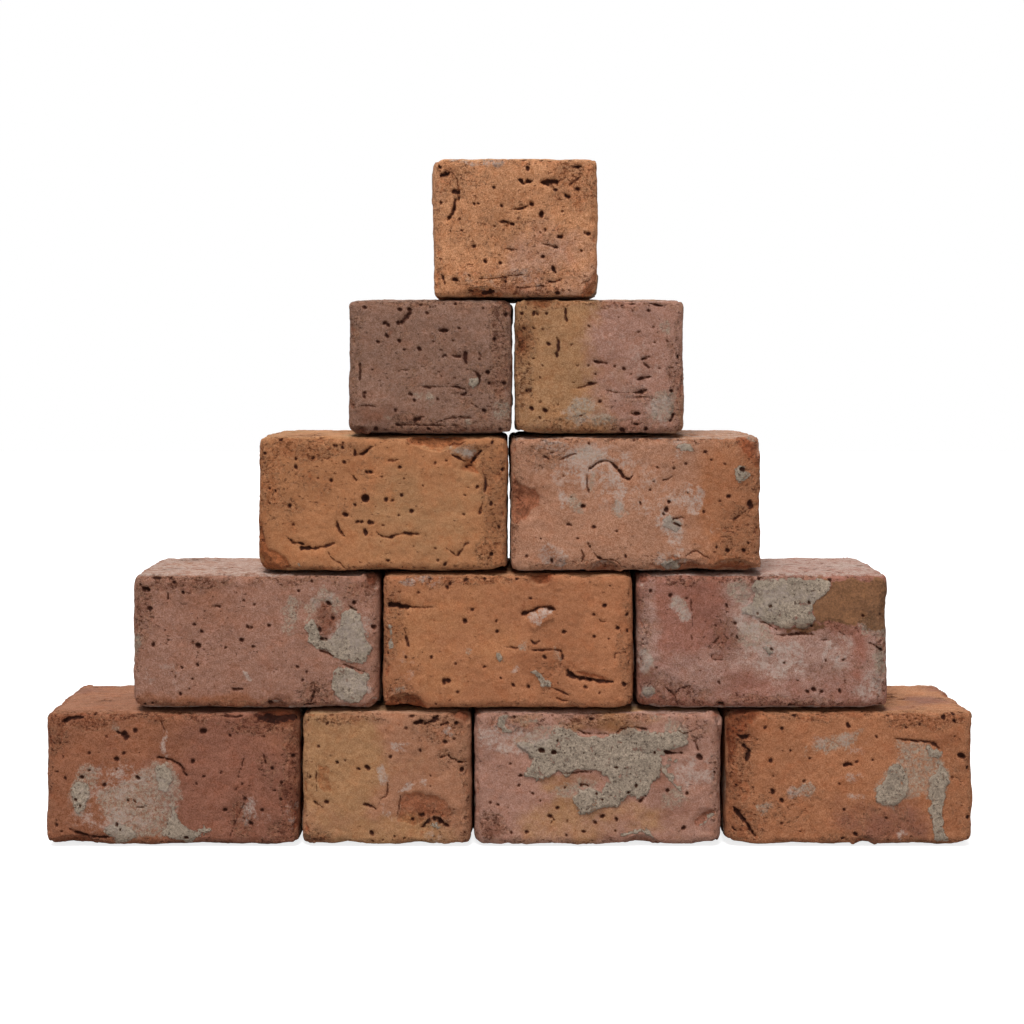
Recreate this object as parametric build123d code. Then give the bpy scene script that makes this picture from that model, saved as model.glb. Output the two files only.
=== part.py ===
"""A stack of reclaimed solid clay bricks, laid dry in five courses.

Sizes are in millimetres, +Z is up and +X runs along the stack. The front of the stack is
the side at -Y, where the bricks stand flush. The origin is on the floor, in the middle of
the stack's footprint.

Each brick is one fired piece: a block with worn, rounded edges, from which larger chips
and spalls have broken. A stretcher shows its long side at the front, a header its end.
"""

import os
from dataclasses import dataclass

from build123d import *

# One brick, as the mould made it
LENGTH = 200.0
WIDTH = 134.0
HEIGHT = 110.0

# The open gap between two bricks of a course
JOINT = 3.2

# How far wear has rounded the edges of a sound brick and of a battered one
ARRIS = 5.0
WORN_ARRIS = 7.0


@dataclass
class Chip:
    """A piece broken out of a brick, as the bowl that it left.

    place is given in half sizes of the brick from its middle, so 1 or -1 is on a face. Two
    such numbers put the chip on an edge, three on a corner and one on a face. chord is
    how wide the bowl is and depth how far it goes in from the sharp edge, corner or face.
    """

    place: tuple
    chord: float
    depth: float


@dataclass
class Brick:
    """One brick of a course, with what sets it apart from the moulded size."""

    name: str
    header: bool
    face_extra: float
    depth_extra: float
    set_back: float
    arris: float
    chips: list


@dataclass
class Course:
    """One layer of the stack: its bricks from left to right."""

    shift: float
    taller: float
    bricks: list


COURSES = [
    Course(shift=0.0, taller=0.0, bricks=[
        Brick("course_1_left_stretcher", False, 2.8, 0.6, 0.0, WORN_ARRIS, [
            Chip((0.86, -1, 1), 46, 9),
            Chip((-0.78, -1, -1), 52, 7),
            Chip((-1, 1, 1), 34, 10),
            Chip((-1, -0.3, 1), 30, 7),
        ]),
        Brick("course_1_header", True, 1.1, 0.0, 0.0, ARRIS, [
            Chip((1, -1, 1), 34, 9),
            Chip((-1, -1, -1), 30, 9),
            Chip((0.47, -1, -0.56), 44, 2.2),
            Chip((-0.4, 1, 1), 38, 8),
        ]),
        Brick("course_1_middle_stretcher", False, -1.2, -1.0, 0.8, ARRIS, [
            Chip((1, -1, 1), 38, 10),
            Chip((0.36, -1, -1), 34, 7),
            Chip((0.87, -1, -0.62), 22, 2.2),
            Chip((0.55, 1, 1), 46, 8),
        ]),
        Brick("course_1_right_stretcher", False, -1.2, 0.4, 0.3, WORN_ARRIS, [
            Chip((-0.88, -1, 1), 44, 11),
            Chip((-1, -1, 0.45), 36, 9),
            Chip((0.12, -1, -1), 26, 7),
            Chip((1, 1, -1), 40, 12),
            Chip((1, 0.2, 1), 36, 8),
        ]),
    ]),
    Course(shift=0.6, taller=0.5, bricks=[
        Brick("course_2_left_stretcher", False, -2.0, 0.8, 0.5, WORN_ARRIS, [
            Chip((1, -1, 1), 44, 12),
            Chip((0.16, -1, -1), 26, 7),
            Chip((1, -1, -1), 30, 9),
            Chip((-1, 1, 0.1), 40, 9),
        ]),
        Brick("course_2_middle_stretcher", False, 1.2, -1.2, 0.0, ARRIS, [
            Chip((0.25, -1, 1), 24, 9),
            Chip((-0.82, -1, -1), 42, 11),
            Chip((-0.5, 1, 1), 40, 8),
        ]),
        Brick("course_2_right_stretcher", False, 2.0, 0.2, 0.6, WORN_ARRIS, [
            Chip((-1, -1, 1), 34, 10),
            Chip((-1, -1, -1), 30, 9),
            Chip((1, 1, 1), 42, 13),
            Chip((1, 0.1, -1), 34, 8),
        ]),
    ]),
    Course(shift=0.2, taller=0.5, bricks=[
        Brick("course_3_left_stretcher", False, -0.4, -0.6, 0.2, ARRIS, [
            Chip((-1, -1, -1), 56, 13),
            Chip((0.44, -1, 1), 52, 10),
            Chip((0.7, -1, 0.62), 26, 2.4),
            Chip((-0.3, 1, 1), 36, 8),
            Chip((-1, 1, 0.6), 30, 8),
        ]),
        Brick("course_3_right_stretcher", False, 1.2, 0.5, 0.0, ARRIS, [
            Chip((-0.94, -1, 0.04), 40, 4),
            Chip((1, -1, 1), 62, 15),
            Chip((0.38, -1, -1), 38, 9),
            Chip((-0.25, -1, -1), 34, 8),
            Chip((0.78, -1, -1), 46, 9),
            Chip((1, 1, -1), 36, 10),
        ]),
    ]),
    Course(shift=5.4, taller=0.0, bricks=[
        Brick("course_4_left_header", True, -3.0, -2.0, 0.4, WORN_ARRIS, [
            Chip((-0.85, -1, -1), 18, 6.5),
            Chip((1, -1, 1), 32, 9),
            Chip((0.3, 1, 1), 42, 9),
            Chip((-1, 0.5, 1), 30, 8),
        ]),
        Brick("course_4_right_header", True, 1.5, -1.0, 0.7, ARRIS, [
            Chip((-1, -1, 0.36), 28, 8),
            Chip((-0.7, -1, 1), 36, 7),
            Chip((1, 1, -1), 44, 13),
            Chip((1, 0.1, 1), 34, 7),
        ]),
    ]),
    Course(shift=4.6, taller=4.0, bricks=[
        Brick("course_5_top_header", True, -2.1, -1.6, 0.9, ARRIS, [
            Chip((1, -1, -1), 42, 11),
            Chip((-0.4, -1, -1), 46, 7),
            Chip((-1, 1, 1), 36, 11),
            Chip((1, 0.45, 1), 32, 7),
        ]),
    ]),
]


def face_width(brick):
    """How much of the course's front the brick takes up."""
    return (WIDTH if brick.header else LENGTH) + brick.face_extra


def depth_back(brick):
    """How far the brick runs back from its front face."""
    return (LENGTH if brick.header else WIDTH) + brick.depth_extra


def course_width(course):
    """The course's length, with the gaps between its bricks."""
    return sum(face_width(brick) for brick in course.bricks) + JOINT * (len(course.bricks) - 1)


def bowl(chip, size):
    """The ball that leaves a chip of the stated chord and depth in a block of this size."""
    point = Vector(*[share * side / 2 for share, side in zip(chip.place, size)])
    outward = Vector(*[share if abs(share) == 1 else 0 for share in chip.place]).normalized()
    radius = (chip.chord ** 2 / 4 + chip.depth ** 2) / (2 * chip.depth)
    centre = point + outward * (radius - chip.depth)
    return Pos(*centre) * Sphere(radius)


def make_brick(brick, height):
    """One brick about its own middle: a block with worn edges, less its chips."""
    size = (face_width(brick), depth_back(brick), height)
    block = Box(*size)
    solid = fillet(block.edges(), brick.arris)
    for chip in brick.chips:
        solid -= bowl(chip, size)
    return solid


def build_stack():
    """Every brick in its place, by name."""
    placed = {}
    front = -LENGTH / 2
    floor = 0.0
    for course in COURSES:
        height = HEIGHT + course.taller
        left = course.shift - course_width(course) / 2
        for brick in course.bricks:
            x = left + face_width(brick) / 2
            y = front + brick.set_back + depth_back(brick) / 2
            placed[brick.name] = Pos(x, y, floor + height / 2) * make_brick(brick, height)
            left += face_width(brick) + JOINT
        floor += height
    return placed


os.makedirs("parts", exist_ok=True)
for name, solid in build_stack().items():
    export_step(solid, f"parts/{name}.step")
    print(name, round(solid.volume), solid.bounding_box())
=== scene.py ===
"""A dry stack of reclaimed solid clay bricks: the looks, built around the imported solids.

Each brick is remodelled from its own solid as a fine grid, so its chips and rounded edges
are the solid's. Pits, cracks, spalls and old mortar are then worked into the grid, and
measures of them are kept on the mesh for the clay material to colour by.

Lengths in the tables of brick faces are in millimetres from the face's lower left corner,
as (across, up). Everything else is in metres.
"""

import math
from dataclasses import dataclass, field

import bmesh
import bpy
import numpy as np
from bpy.props import FloatProperty, FloatVectorProperty, PointerProperty
from bpy.types import Operator, Panel, PropertyGroup
from mathutils import Euler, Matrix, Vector, noise
from mathutils.bvhtree import BVHTree


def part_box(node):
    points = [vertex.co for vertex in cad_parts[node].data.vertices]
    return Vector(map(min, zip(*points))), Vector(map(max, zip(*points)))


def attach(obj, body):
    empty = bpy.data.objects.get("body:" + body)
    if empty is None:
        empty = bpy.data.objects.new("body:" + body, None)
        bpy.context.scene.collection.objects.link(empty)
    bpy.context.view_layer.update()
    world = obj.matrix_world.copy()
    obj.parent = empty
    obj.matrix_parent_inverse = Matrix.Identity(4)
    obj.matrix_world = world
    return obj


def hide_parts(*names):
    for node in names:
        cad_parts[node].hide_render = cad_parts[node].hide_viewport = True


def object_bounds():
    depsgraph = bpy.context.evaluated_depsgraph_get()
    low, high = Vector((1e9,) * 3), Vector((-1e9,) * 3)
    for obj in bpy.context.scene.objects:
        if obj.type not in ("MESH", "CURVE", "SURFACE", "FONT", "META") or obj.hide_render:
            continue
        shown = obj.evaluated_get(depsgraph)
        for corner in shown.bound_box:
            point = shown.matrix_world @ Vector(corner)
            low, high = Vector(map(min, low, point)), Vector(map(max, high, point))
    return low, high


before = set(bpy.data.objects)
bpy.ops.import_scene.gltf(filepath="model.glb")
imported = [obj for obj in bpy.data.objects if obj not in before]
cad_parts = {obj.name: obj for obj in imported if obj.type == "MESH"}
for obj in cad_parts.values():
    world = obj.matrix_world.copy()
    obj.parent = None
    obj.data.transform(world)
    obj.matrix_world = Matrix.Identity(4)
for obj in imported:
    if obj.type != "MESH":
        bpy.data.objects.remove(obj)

bl_info = {
    "name": "Reclaimed Brick Stack",
    "version": (1, 0, 0),
    "blender": (4, 5, 0),
    "location": "View3D > Sidebar > Bricks",
    "description": "Weathered clay bricks with pits, chips and old mortar, built on a fixed frame",
    "category": "Mesh",
}

CAD_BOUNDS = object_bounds()
STACK_LOW = Vector(CAD_BOUNDS[0])
MM = 0.001

# Random pits dug in the part of a brick that is at least this many mm behind the front
PITS_BEHIND = 90
BEHIND = 11

# Half the side of the stage floor, in metres
FLOOR_REACH = 6


def fired(red, green, blue):
    """The clay's own colour, for how it looks under the stage's light, in 0 to 255."""
    gamma = 2.2
    light_on_front = 0.86
    return tuple((channel / 255) ** gamma / light_on_front for channel in (red, green, blue))


# ---------------------------------------------------------------------------------------
# The bricks' faces
# ---------------------------------------------------------------------------------------


@dataclass
class Brick:
    """What can be seen on one brick's front face, in mm from its lower left corner.

    clay and second name its colours, seed starts its random wear, crown is how far its ends
    bulge, grain is how much sandy texture it shows and dust how much lime dust its bed has.
    pits are (across, up, radius), cuts (width, depth, path), crusts (thickness, outline),
    smears outlines, scars (depth, outline) with less than 0 for a lump, lifts (across, reach,
    height) where its foot has worn up, and tints (kind, across, up, reach across, reach up,
    strength).
    """

    clay: str
    second: str
    seed: int
    crown: float = 0.3
    grain: float = 0.7
    dust: float = 0.0
    pits: list = field(default_factory=list)
    cuts: list = field(default_factory=list)
    crusts: list = field(default_factory=list)
    smears: list = field(default_factory=list)
    scars: list = field(default_factory=list)
    lifts: list = field(default_factory=list)
    tints: list = field(default_factory=list)


BRICKS = {
    "course_1_left_stretcher": Brick(
        "red_brown", "dark_rose", 11, 0.3, 0.8,
        pits=[
            (126.5, 93.5, 2.6), (57, 71, 2.0), (63, 76, 1.6), (35, 76, 1.3), (29, 56.5, 1.8),
            (47, 50, 1.8), (16, 55.5, 1.4), (35, 62, 1.2), (118, 69, 1.7), (74, 56, 2.0),
            (72, 94, 1.8), (148, 90, 1.3), (63, 91, 2.4), (65, 88.5, 2.2), (49, 89, 1.2),
            (12, 84, 1.1), (9, 61, 1.0), (24, 38.5, 1.5), (28, 33.5, 1.2), (66, 38, 1.1),
            (57, 18.5, 1.5), (60, 14.5, 1.0), (113, 8, 1.7), (121, 51, 1.2), (127, 57, 1.2),
            (141, 60, 1.2), (144, 30, 1.7), (165, 19.5, 1.9), (174, 30, 1.5), (189, 38.5, 1.3),
            (184, 46, 1.2), (190, 52.5, 1.3), (182, 63.5, 1.6), (199, 74, 1.7), (175, 89, 0.9),
            (9, 18, 1.4), (13, 13, 1.0), (39, 108, 1.4), (14, 73, 1.0), (158, 51, 1.3),
            (153, 47, 1.2), (160, 39, 1.5), (57, 63, 0.9),
        ],
        cuts=[
            (2.2, 2.2, [(88, 73), (98, 71), (104, 69), (109, 65), (113, 58)]),
            (1.3, 1.0, [(92, 102), (94, 98), (95.5, 93)]),
            (1.6, 1.6, [(159, 71), (157, 64), (154.5, 56)]),
            (1.1, 1.0, [(158, 43), (160, 38), (157, 30), (153, 22), (148, 8)]),
            (1.8, 1.4, [(175, 75), (176, 71), (177, 67)]),
            (2.4, 2.0, [(19, 15), (27, 11.5), (36, 8.5), (44, 8), (50, 8)]),
            (3.2, 2.4, [(12, 101), (17, 102.5), (21, 104), (30, 105)]),
            (1.3, 1.0, [(71, 32), (75, 32), (81, 33)]),
            (1.1, 1.0, [(70, 39), (73, 36)]),
            (2.0, 1.4, [(57, 93), (60, 92), (64, 90)]),
            # This wide cut is a groove painted dark as shade in the spall under the brick above
            (4.6, 2.6, [(166, 107), (176, 104.5), (188, 104), (196, 102.5), (204, 104)]),
            (1.6, 1.2, [(140, 106), (150, 105), (158, 106)]),
        ],
        crusts=[
            (0.4, [(50, 20), (47, 16), (55, 5), (64, 3), (74, 8), (72, 16), (60, 21)]),
            (0.4, [(99, 34), (100, 22), (92, 12), (104, 5), (112, 3), (119, 5), (126, 11),
                   (133, 15), (128, 17), (119, 13), (111, 17), (103, 30)]),
            (0.3, [(94, 69), (89, 64), (88, 54), (92, 44), (101, 46), (101, 60)]),
            (0.3, [(20, 50), (27, 54), (36, 52), (35, 44), (33, 32), (28, 27), (23, 30)]),
        ],
        smears=[
            [(19, 50), (27, 62), (38, 70), (46, 62), (40, 54), (36, 44), (34, 30), (27, 24),
             (20, 34)],
            [(50, 22), (56, 6), (76, 8), (98, 8), (103, 24), (101, 45), (101, 62), (96, 69),
             (88, 68), (78, 60), (66, 56), (56, 44), (58, 34)],
            [(51, 98), (56, 99), (63, 91), (60, 88), (53, 93)],
            [(40, 46), (60, 50), (80, 62), (98, 72), (110, 50), (104, 26), (88, 12), (60, 10),
             (44, 26)],
        ],
        lifts=[(22, 34, 2.2), (120, 30, 0.8), (196, 14, 1.4)],
        tints=[("crumbly", 24, 101, 36, 7, 1.0), ("crumbly", 90, 105, 60, 5, 1.0),
               ("crumbly", 172, 99, 36, 9, 1.0), ("crumbly", 6, 94, 12, 18, 1.0),
               ("crumbly", 197, 50, 9, 60, 1.0), ("crumbly", 190, 12, 16, 14, 0.9),
               ("crumbly", 100, 3, 110, 4, 0.6), ("crumbly", 158, 26, 12, 22, 0.7),
               ("crumbly", 178, 60, 12, 14, 0.6), ("bloom", 96, 84, 4, 13, 0.6),
               # The first darker tint on the next line is painted shadow in the spall under the
               # brick above
               ("scorch_and_shade", 185, 106, 24, 6, 1.0), ("bloom", 166, 28, 7, 14, 0.5),
               ("second", 150, 45, 70, 80, 0.9), ("bloom", 62, 38, 46, 34, 0.45),
               ("scorch_and_shade", 197, 43, 6, 9, 0.8), ("bloom", 166, 24, 12, 12, 0.4),
               ("bloom", 196, 28, 5, 16, 0.4), ("scorch_and_shade", 30, 5, 34, 6, 0.5)],
    ),
    "course_1_header": Brick(
        "salmon", "ochre", 12, 1.3, 0.55,
        pits=[
            (20, 99.5, 1.4), (13, 81, 1.4), (35, 70, 1.1), (28, 68, 1.6), (45, 63, 1.4),
            (52, 65, 1.7), (53.5, 63.5, 1.5), (6.5, 57, 1.2), (71, 73, 1.4), (84, 96, 1.3),
            (95, 78, 1.4), (115, 85, 1.7), (20, 36.5, 1.5), (56, 11.5, 1.8), (89, 22, 1.5),
            (95, 25, 1.7), (97, 26, 1.5), (46, 17, 0.9), (88, 105.5, 1.6), (65, 5.5, 1.1),
            (74, 8.5, 1.0), (82, 7, 1.0), (57, 5, 1.1), (131, 12, 1.2), (128, 62.5, 2.0),
            (4, 102, 1.0), (124, 100, 1.6), (103, 57.5, 0.9), (103, 49, 0.9), (122, 87, 0.9),
            (106, 22, 1.5),
        ],
        cuts=[
            (1.8, 1.4, [(49, 35), (54, 34), (59, 31)]),
            (1.4, 1.2, [(9, 37), (13, 34), (18, 31)]),
            (1.0, 0.8, [(69, 54), (68.5, 47), (68, 41), (64, 40), (61, 34)]),
            (1.1, 0.8, [(79, 42), (78, 33), (76, 24)]),
            (2.6, 2.0, [(112, 72), (117, 75), (121, 71), (127, 68), (134, 68)]),
            (3.4, 2.2, [(91, 100), (95, 101), (99, 103)]),
            (4.4, 2.6, [(98, 99), (104, 101), (108, 105)]),
            (2.2, 1.6, [(112, 98), (117, 100)]),
            (3.2, 2.6, [(95, 15), (100, 20), (106, 24), (112, 20), (119, 16)]),
            (1.1, 0.8, [(11.5, 66), (11.2, 56), (11.5, 46)]),
        ],
        crusts=[(0.6, [(101, 16.5), (105, 19), (110, 18), (112, 15.5), (106, 14.5)])],
        scars=[
            (0.9, [(76, 23), (78, 33), (79, 42), (90, 46), (104, 42), (115, 37), (122, 30),
                   (119, 22), (108, 26), (96, 19), (88, 17), (82, 20)]),
            (0.7, [(12, 63), (13, 67), (22, 66), (22, 48), (25, 44), (12, 45)]),
            (1.0, [(120, 112), (119, 107), (124, 103), (137, 103), (137, 112)]),
        ],
        lifts=[(12, 14, 1.2), (38, 18, 1.5), (92, 18, 1.7), (128, 14, 1.2)],
        tints=[("crumbly", 34, 103, 40, 6, 0.9), ("crumbly", 114, 20, 22, 18, 0.6),
               ("crumbly", 112, 96, 24, 14, 0.8), ("crumbly", 120, 72, 14, 10, 0.7),
               ("scorch_and_shade", 126, 108, 12, 7, 0.8),
               ("crumbly", 10, 8, 14, 9, 0.8), ("crumbly", 130, 60, 6, 50, 0.6),
               ("second", 24, 62, 42, 60, 0.95), ("second", 62, 10, 74, 18, 0.8),
               ("bloom", 64, 60, 4, 8, 0.9), ("bloom", 84, 48, 8, 3, 0.9),
               ("bloom", 98, 48, 4, 4, 0.8), ("bloom", 81, 82, 7, 5, 0.6),
               ("bloom", 118, 93, 6, 4, 0.6), ("bloom", 66, 27, 6, 5, 0.6),
               ("bloom", 108, 7, 9, 7, 0.5), ("scorch_and_shade", 12, 6, 10, 5, 0.7),
               ("scorch_and_shade", 80, 6, 10, 5, 0.5)],
    ),
    "course_1_middle_stretcher": Brick(
        "rose", "ochre", 13, 1.3, 0.6,
        pits=[
            (54, 78, 2.2), (64, 76.5, 2.1), (29, 67, 1.2), (67, 86, 1.2), (114, 64, 1.1),
            (36, 49.5, 1.4), (37, 57.5, 1.5), (47, 43, 1.2), (13, 36, 1.3), (19, 34, 1.1),
            (53, 37, 1.1), (61, 25, 1.8), (64, 22, 1.0), (42, 12, 1.5), (30, 11.5, 1.2),
            (67, 31.5, 1.5), (181, 72.5, 2.5), (155, 45.5, 1.6), (171, 43.5, 1.7),
            (124, 44, 1.3), (130, 50, 1.5), (86, 50, 1.4), (103, 25, 1.9), (97, 20, 1.5),
            (114, 22.5, 1.6), (88, 13, 1.4), (74, 9.5, 1.2), (75, 21, 1.1), (168, 15.5, 1.9),
            (193, 60, 1.2), (98, 43, 1.1), (103, 39, 1.2), (94, 103, 1.7), (32, 104.5, 1.4),
            (113, 13, 1.0), (73, 48, 1.2), (145, 76.5, 1.3), (63, 106, 0.9), (62, 20, 0.9),
        ],
        cuts=[
            (2.6, 2.4, [(152, 77), (157, 76), (162, 75), (168, 76)]),
            # The next two cuts are dark lines painted as shade under the crust and along its top
            # edge
            (1.8, 0.9, [(69, 60), (78, 59.5), (86, 61), (94, 60)]),
            (1.4, 1.0, [(83, 95), (88, 91), (100, 91), (112, 91)]),
            (1.8, 1.2, [(114, 92), (120, 96), (128, 97), (138, 95)]),
            (2.2, 1.4, [(132, 36), (135, 39), (138, 42)]),
            (1.4, 1.0, [(86, 51), (90, 50), (93, 48)]),
            (1.1, 0.8, [(176, 86), (179, 82), (180, 77)]),
            (1.2, 0.8, [(163, 94), (170, 91), (177, 94)]),
        ],
        crusts=[
            (1.3, [(39, 60), (44, 67), (46, 72), (36, 80), (34, 84), (47, 86), (57, 85),
                   (62, 91), (72, 97), (79, 95), (83, 91), (91, 89), (103, 88), (110, 89),
                   (117, 93), (126, 97), (134, 96), (143, 93), (150, 91), (157, 94),
                   (172, 91), (172, 84), (166, 79), (155, 78), (150, 70), (151, 61),
                   (147, 55), (142, 52), (139, 46), (133, 40), (130, 38), (126, 42),
                   (120, 40), (115, 30), (109, 34), (102, 34), (96, 29), (87, 25), (82, 31),
                   (77, 41), (85, 46), (93, 48), (100, 46), (108, 49), (109, 56), (100, 62),
                   (90, 62), (80, 61), (72, 57), (67, 63), (62, 58), (56, 54), (46, 55)]),
            (0.8, [(20, 106), (19, 97), (24, 92), (31, 93), (35, 97), (31, 96), (26, 95),
                   (24, 98), (27, 102), (25, 107)]),
            (0.5, [(162, 72), (156, 70), (152, 65), (152, 58), (158, 56), (160, 50), (166, 43),
                   (169, 44), (163, 51), (160, 58), (155, 60), (155, 66), (160, 69)]),
            (0.5, [(116, 9), (121, 12), (128, 14), (137, 14), (143, 10), (146, 5), (141, 8),
                   (136, 11), (128, 11), (121, 9)]),
            (0.6, [(178, 15), (184, 17), (190, 21), (194, 26), (188, 23), (183, 20)]),
        ],
        smears=[
            [(31, 82), (36, 90), (45, 95), (58, 97), (72, 100), (72, 88), (58, 82), (48, 76),
             (38, 75)],
            [(34, 101), (45, 103), (52, 108), (50, 98), (42, 98)],
            [(150, 90), (157, 104), (146, 103), (140, 106), (150, 108), (168, 100), (176, 90)],
            [(60, 44), (74, 52), (100, 56), (96, 44), (76, 40)],
            [(150, 44), (160, 48), (172, 40), (166, 30), (152, 34)],
        ],
        scars=[(1.1, [(177, 23), (181, 27), (190, 30), (197, 29), (193, 24), (186, 20),
                      (179, 15), (176, 19)])],
        lifts=[(132, 18, 2.4), (188, 18, 1.8), (60, 22, 0.8)],
        tints=[("crumbly", 108, 103, 50, 6, 1.0), ("crumbly", 13, 18, 14, 13, 1.0),
               ("crumbly", 195, 50, 5, 60, 0.6), ("crumbly", 60, 4, 70, 5, 0.6),
               ("crumbly", 34, 102, 30, 9, 0.7), ("crumbly", 176, 96, 20, 12, 0.6),
               ("bloom", 30, 88, 30, 14, 0.7), ("bloom", 178, 60, 22, 20, 0.4),
               # The first darker tint on the next line is painted shade between the crust and the
               # rose patch
               ("scorch_and_shade", 153, 46, 12, 14, 0.45), ("scorch_and_shade", 80, 54, 26, 7, 0.35),
               ("second", 80, 18, 46, 24, 0.55), ("second", 122, 24, 34, 14, 0.5),
               ("second", 74, 52, 30, 8, 0.5), ("second", 110, 100, 50, 8, 0.5),
               ("scorch_and_shade", 104, 96, 24, 4, 0.8), ("scorch_and_shade", 14, 19, 9, 7, 0.7),
               ("scorch_and_shade", 160, 28, 18, 6, 0.5), ("second", 40, 106, 12, 4, 0.5),
               ("scorch_and_shade", 120, 5, 40, 5, 0.4), ("bloom", 183, 54, 10, 7, 0.4)],
    ),
    "course_1_right_stretcher": Brick(
        "orange", "dark_rose", 14, 0.3, 0.75,
        pits=[
            (45, 95.5, 1.5), (98.5, 98, 2.0), (25, 86.5, 0.9), (38, 45.5, 1.6), (38, 43.8, 1.4),
            (45, 37.5, 1.9), (63, 53, 1.3), (91, 51, 1.1), (95, 30, 1.5), (67.5, 71.5, 1.2),
            (36, 70, 1.7), (121, 88.5, 1.3), (118, 70.5, 1.1), (105, 68.5, 1.3), (38, 57, 0.9),
            (189, 74, 2.4), (191, 72.5, 1.8), (195, 64, 1.7), (182, 56.5, 1.2), (145, 96.5, 1.3),
            (156, 99, 1.2), (153, 103, 1.1), (175, 104.5, 2.1), (184, 101.5, 1.5),
            (183, 108, 1.7), (129, 24, 1.2), (60, 12.5, 0.9), (45, 19, 1.3), (104, 10.5, 1.9),
            (94, 7.5, 1.3), (130.5, 5.5, 0.9), (195, 24, 2.0), (184, 89.5, 0.9), (8.5, 50, 1.1),
            (120, 75, 0.9), (54, 34, 1.0), (130, 106, 1.4), (55, 106, 1.5), (52, 78, 1.0),
        ],
        cuts=[
            (2.6, 2.0, [(95.5, 65.5), (98, 67), (100, 67), (102.5, 64.5)]),
            (3.4, 2.6, [(8, 29), (14, 23), (19, 16), (24, 9)]),
            (2.4, 1.8, [(9, 90), (14, 88), (20, 91)]),
            (2.6, 1.8, [(14, 82), (20, 78), (17, 73), (17, 69)]),
            (1.4, 1.0, [(6, 33), (9, 30)]),
            (1.5, 1.0, [(31, 95), (33, 98)]),
            (1.8, 1.2, [(4, 16), (9, 13)]),
            # This cut is a dark line painted as shadow, above the old mortar
            (1.6, 1.2, [(136, 87), (146, 86.5), (158, 85), (167, 84), (172, 79)]),
        ],
        crusts=[
            (0.7, [(133, 66), (139, 68), (146, 62), (148, 50), (144, 38), (135, 32), (125, 34),
                   (120, 39), (121, 48), (128, 54)]),
            (0.9, [(160, 84), (168, 81), (174, 76), (170, 66), (166, 60), (162, 52), (165, 40),
                   (164, 26), (168, 14), (167, 5), (172, 3), (179, 7), (174, 17), (173, 28),
                   (176, 38), (180, 50), (176, 62), (170, 72), (163, 75)]),
        ],
        smears=[
            [(137, 86), (150, 86), (163, 84), (171, 78), (178, 66), (180, 52), (174, 40),
             (164, 38), (156, 44), (148, 38), (133, 31), (121, 34), (118, 46), (126, 56),
             (132, 64), (140, 72), (134, 80)],
            [(65, 79), (72, 82), (78, 88), (86, 91), (96, 90), (104, 93), (108, 98), (107, 86),
             (99, 80), (90, 77), (80, 76), (72, 78)],
            [(64, 72), (64, 80), (68, 80), (66, 73)],
            [(50, 44), (56, 51), (64, 53), (72, 52), (73, 47), (64, 42), (56, 42)],
            [(24, 30), (26, 38), (36, 36), (40, 30), (32, 28)],
        ],
        scars=[(1.2, [(-2, 112), (24, 112), (22, 105), (18, 98), (12, 91), (5, 86), (-2, 90)])],
        lifts=[(8, 16, 2.2), (56, 24, 1.0), (112, 11, 1.9), (150, 24, 0.9), (196, 16, 1.8)],
        tints=[("crumbly", 164, 103, 44, 8, 1.0), ("crumbly", 60, 105, 50, 5, 0.7),
               ("crumbly", 10, 70, 14, 50, 0.8), ("crumbly", 186, 50, 18, 44, 0.5),
               ("crumbly", 16, 18, 18, 18, 0.8), ("crumbly", 50, 34, 34, 22, 0.5),
               ("crumbly", 120, 4, 90, 5, 0.6), ("crumbly", 120, 20, 44, 18, 0.5),
               # The first darker tint on the next line is painted shade at the top left corner
               ("scorch_and_shade", 8, 100, 22, 18, 0.8), ("scorch_and_shade", 100, 109, 24, 4, 0.7),
               ("scorch_and_shade", 3, 50, 6, 60, 0.5), ("scorch_and_shade", 177, 86, 10, 8, 0.5),
               ("bloom", 90, 84, 22, 8, 0.4), ("bloom", 60, 47, 12, 6, 0.5),
               ("second", 128, 22, 44, 24, 0.6), ("bloom", 104, 42, 8, 5, 0.5),
               ("bloom", 100, 56, 10, 5, 0.35), ("bloom", 143, 8, 5, 5, 0.5),
               ("scorch_and_shade", 12, 20, 9, 12, 0.35), ("scorch_and_shade", 184, 24, 9, 14, 0.3),
               ("scorch_and_shade", 10, 80, 8, 12, 0.35)],
    ),
    "course_2_left_stretcher": Brick(
        "dusty", "red_brown", 21, 0.3, 0.75, 0.6,
        pits=[
            (14.5, 82, 2.0), (53, 52, 2.4), (93, 67, 1.6), (96, 66.5, 1.5), (88, 56.5, 1.8),
            (75, 50.5, 1.3), (97, 51, 1.4), (90, 88, 1.2), (98, 85, 1.4), (56, 63.5, 1.6),
            (17, 53, 1.8), (134, 96, 1.3), (178.5, 86.5, 1.7), (133, 35, 1.4), (140.5, 31, 1.1),
            (52.5, 36.5, 1.4), (40, 34.5, 1.3), (39, 13, 1.6), (10, 97.5, 2.2), (12.5, 97, 2.0),
            (18.5, 107, 2.0), (21.5, 107, 2.0), (110, 68.5, 1.4), (152.5, 57.5, 1.7),
            (156, 57, 1.5), (151, 65, 1.8), (161, 74, 1.8), (41, 95, 1.5), (50, 69, 1.5),
            (34, 103, 1.6), (31, 107, 1.2), (46, 17, 0.9), (111, 6, 1.8), (137, 24, 1.1),
            (194, 67, 1.9), (10, 4.5, 1.3), (16, 5.5, 1.2), (158, 86, 1.9), (48, 25, 1.1),
            (49, 55, 1.0), (29, 56, 1.0), (26, 64, 1.0), (144, 104, 1.2), (7, 101, 1.1),
        ],
        cuts=[
            (1.8, 1.4, [(66, 83.5), (71, 83)]),
            (1.5, 1.2, [(174, 84), (177, 82), (181, 80)]),
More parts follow.
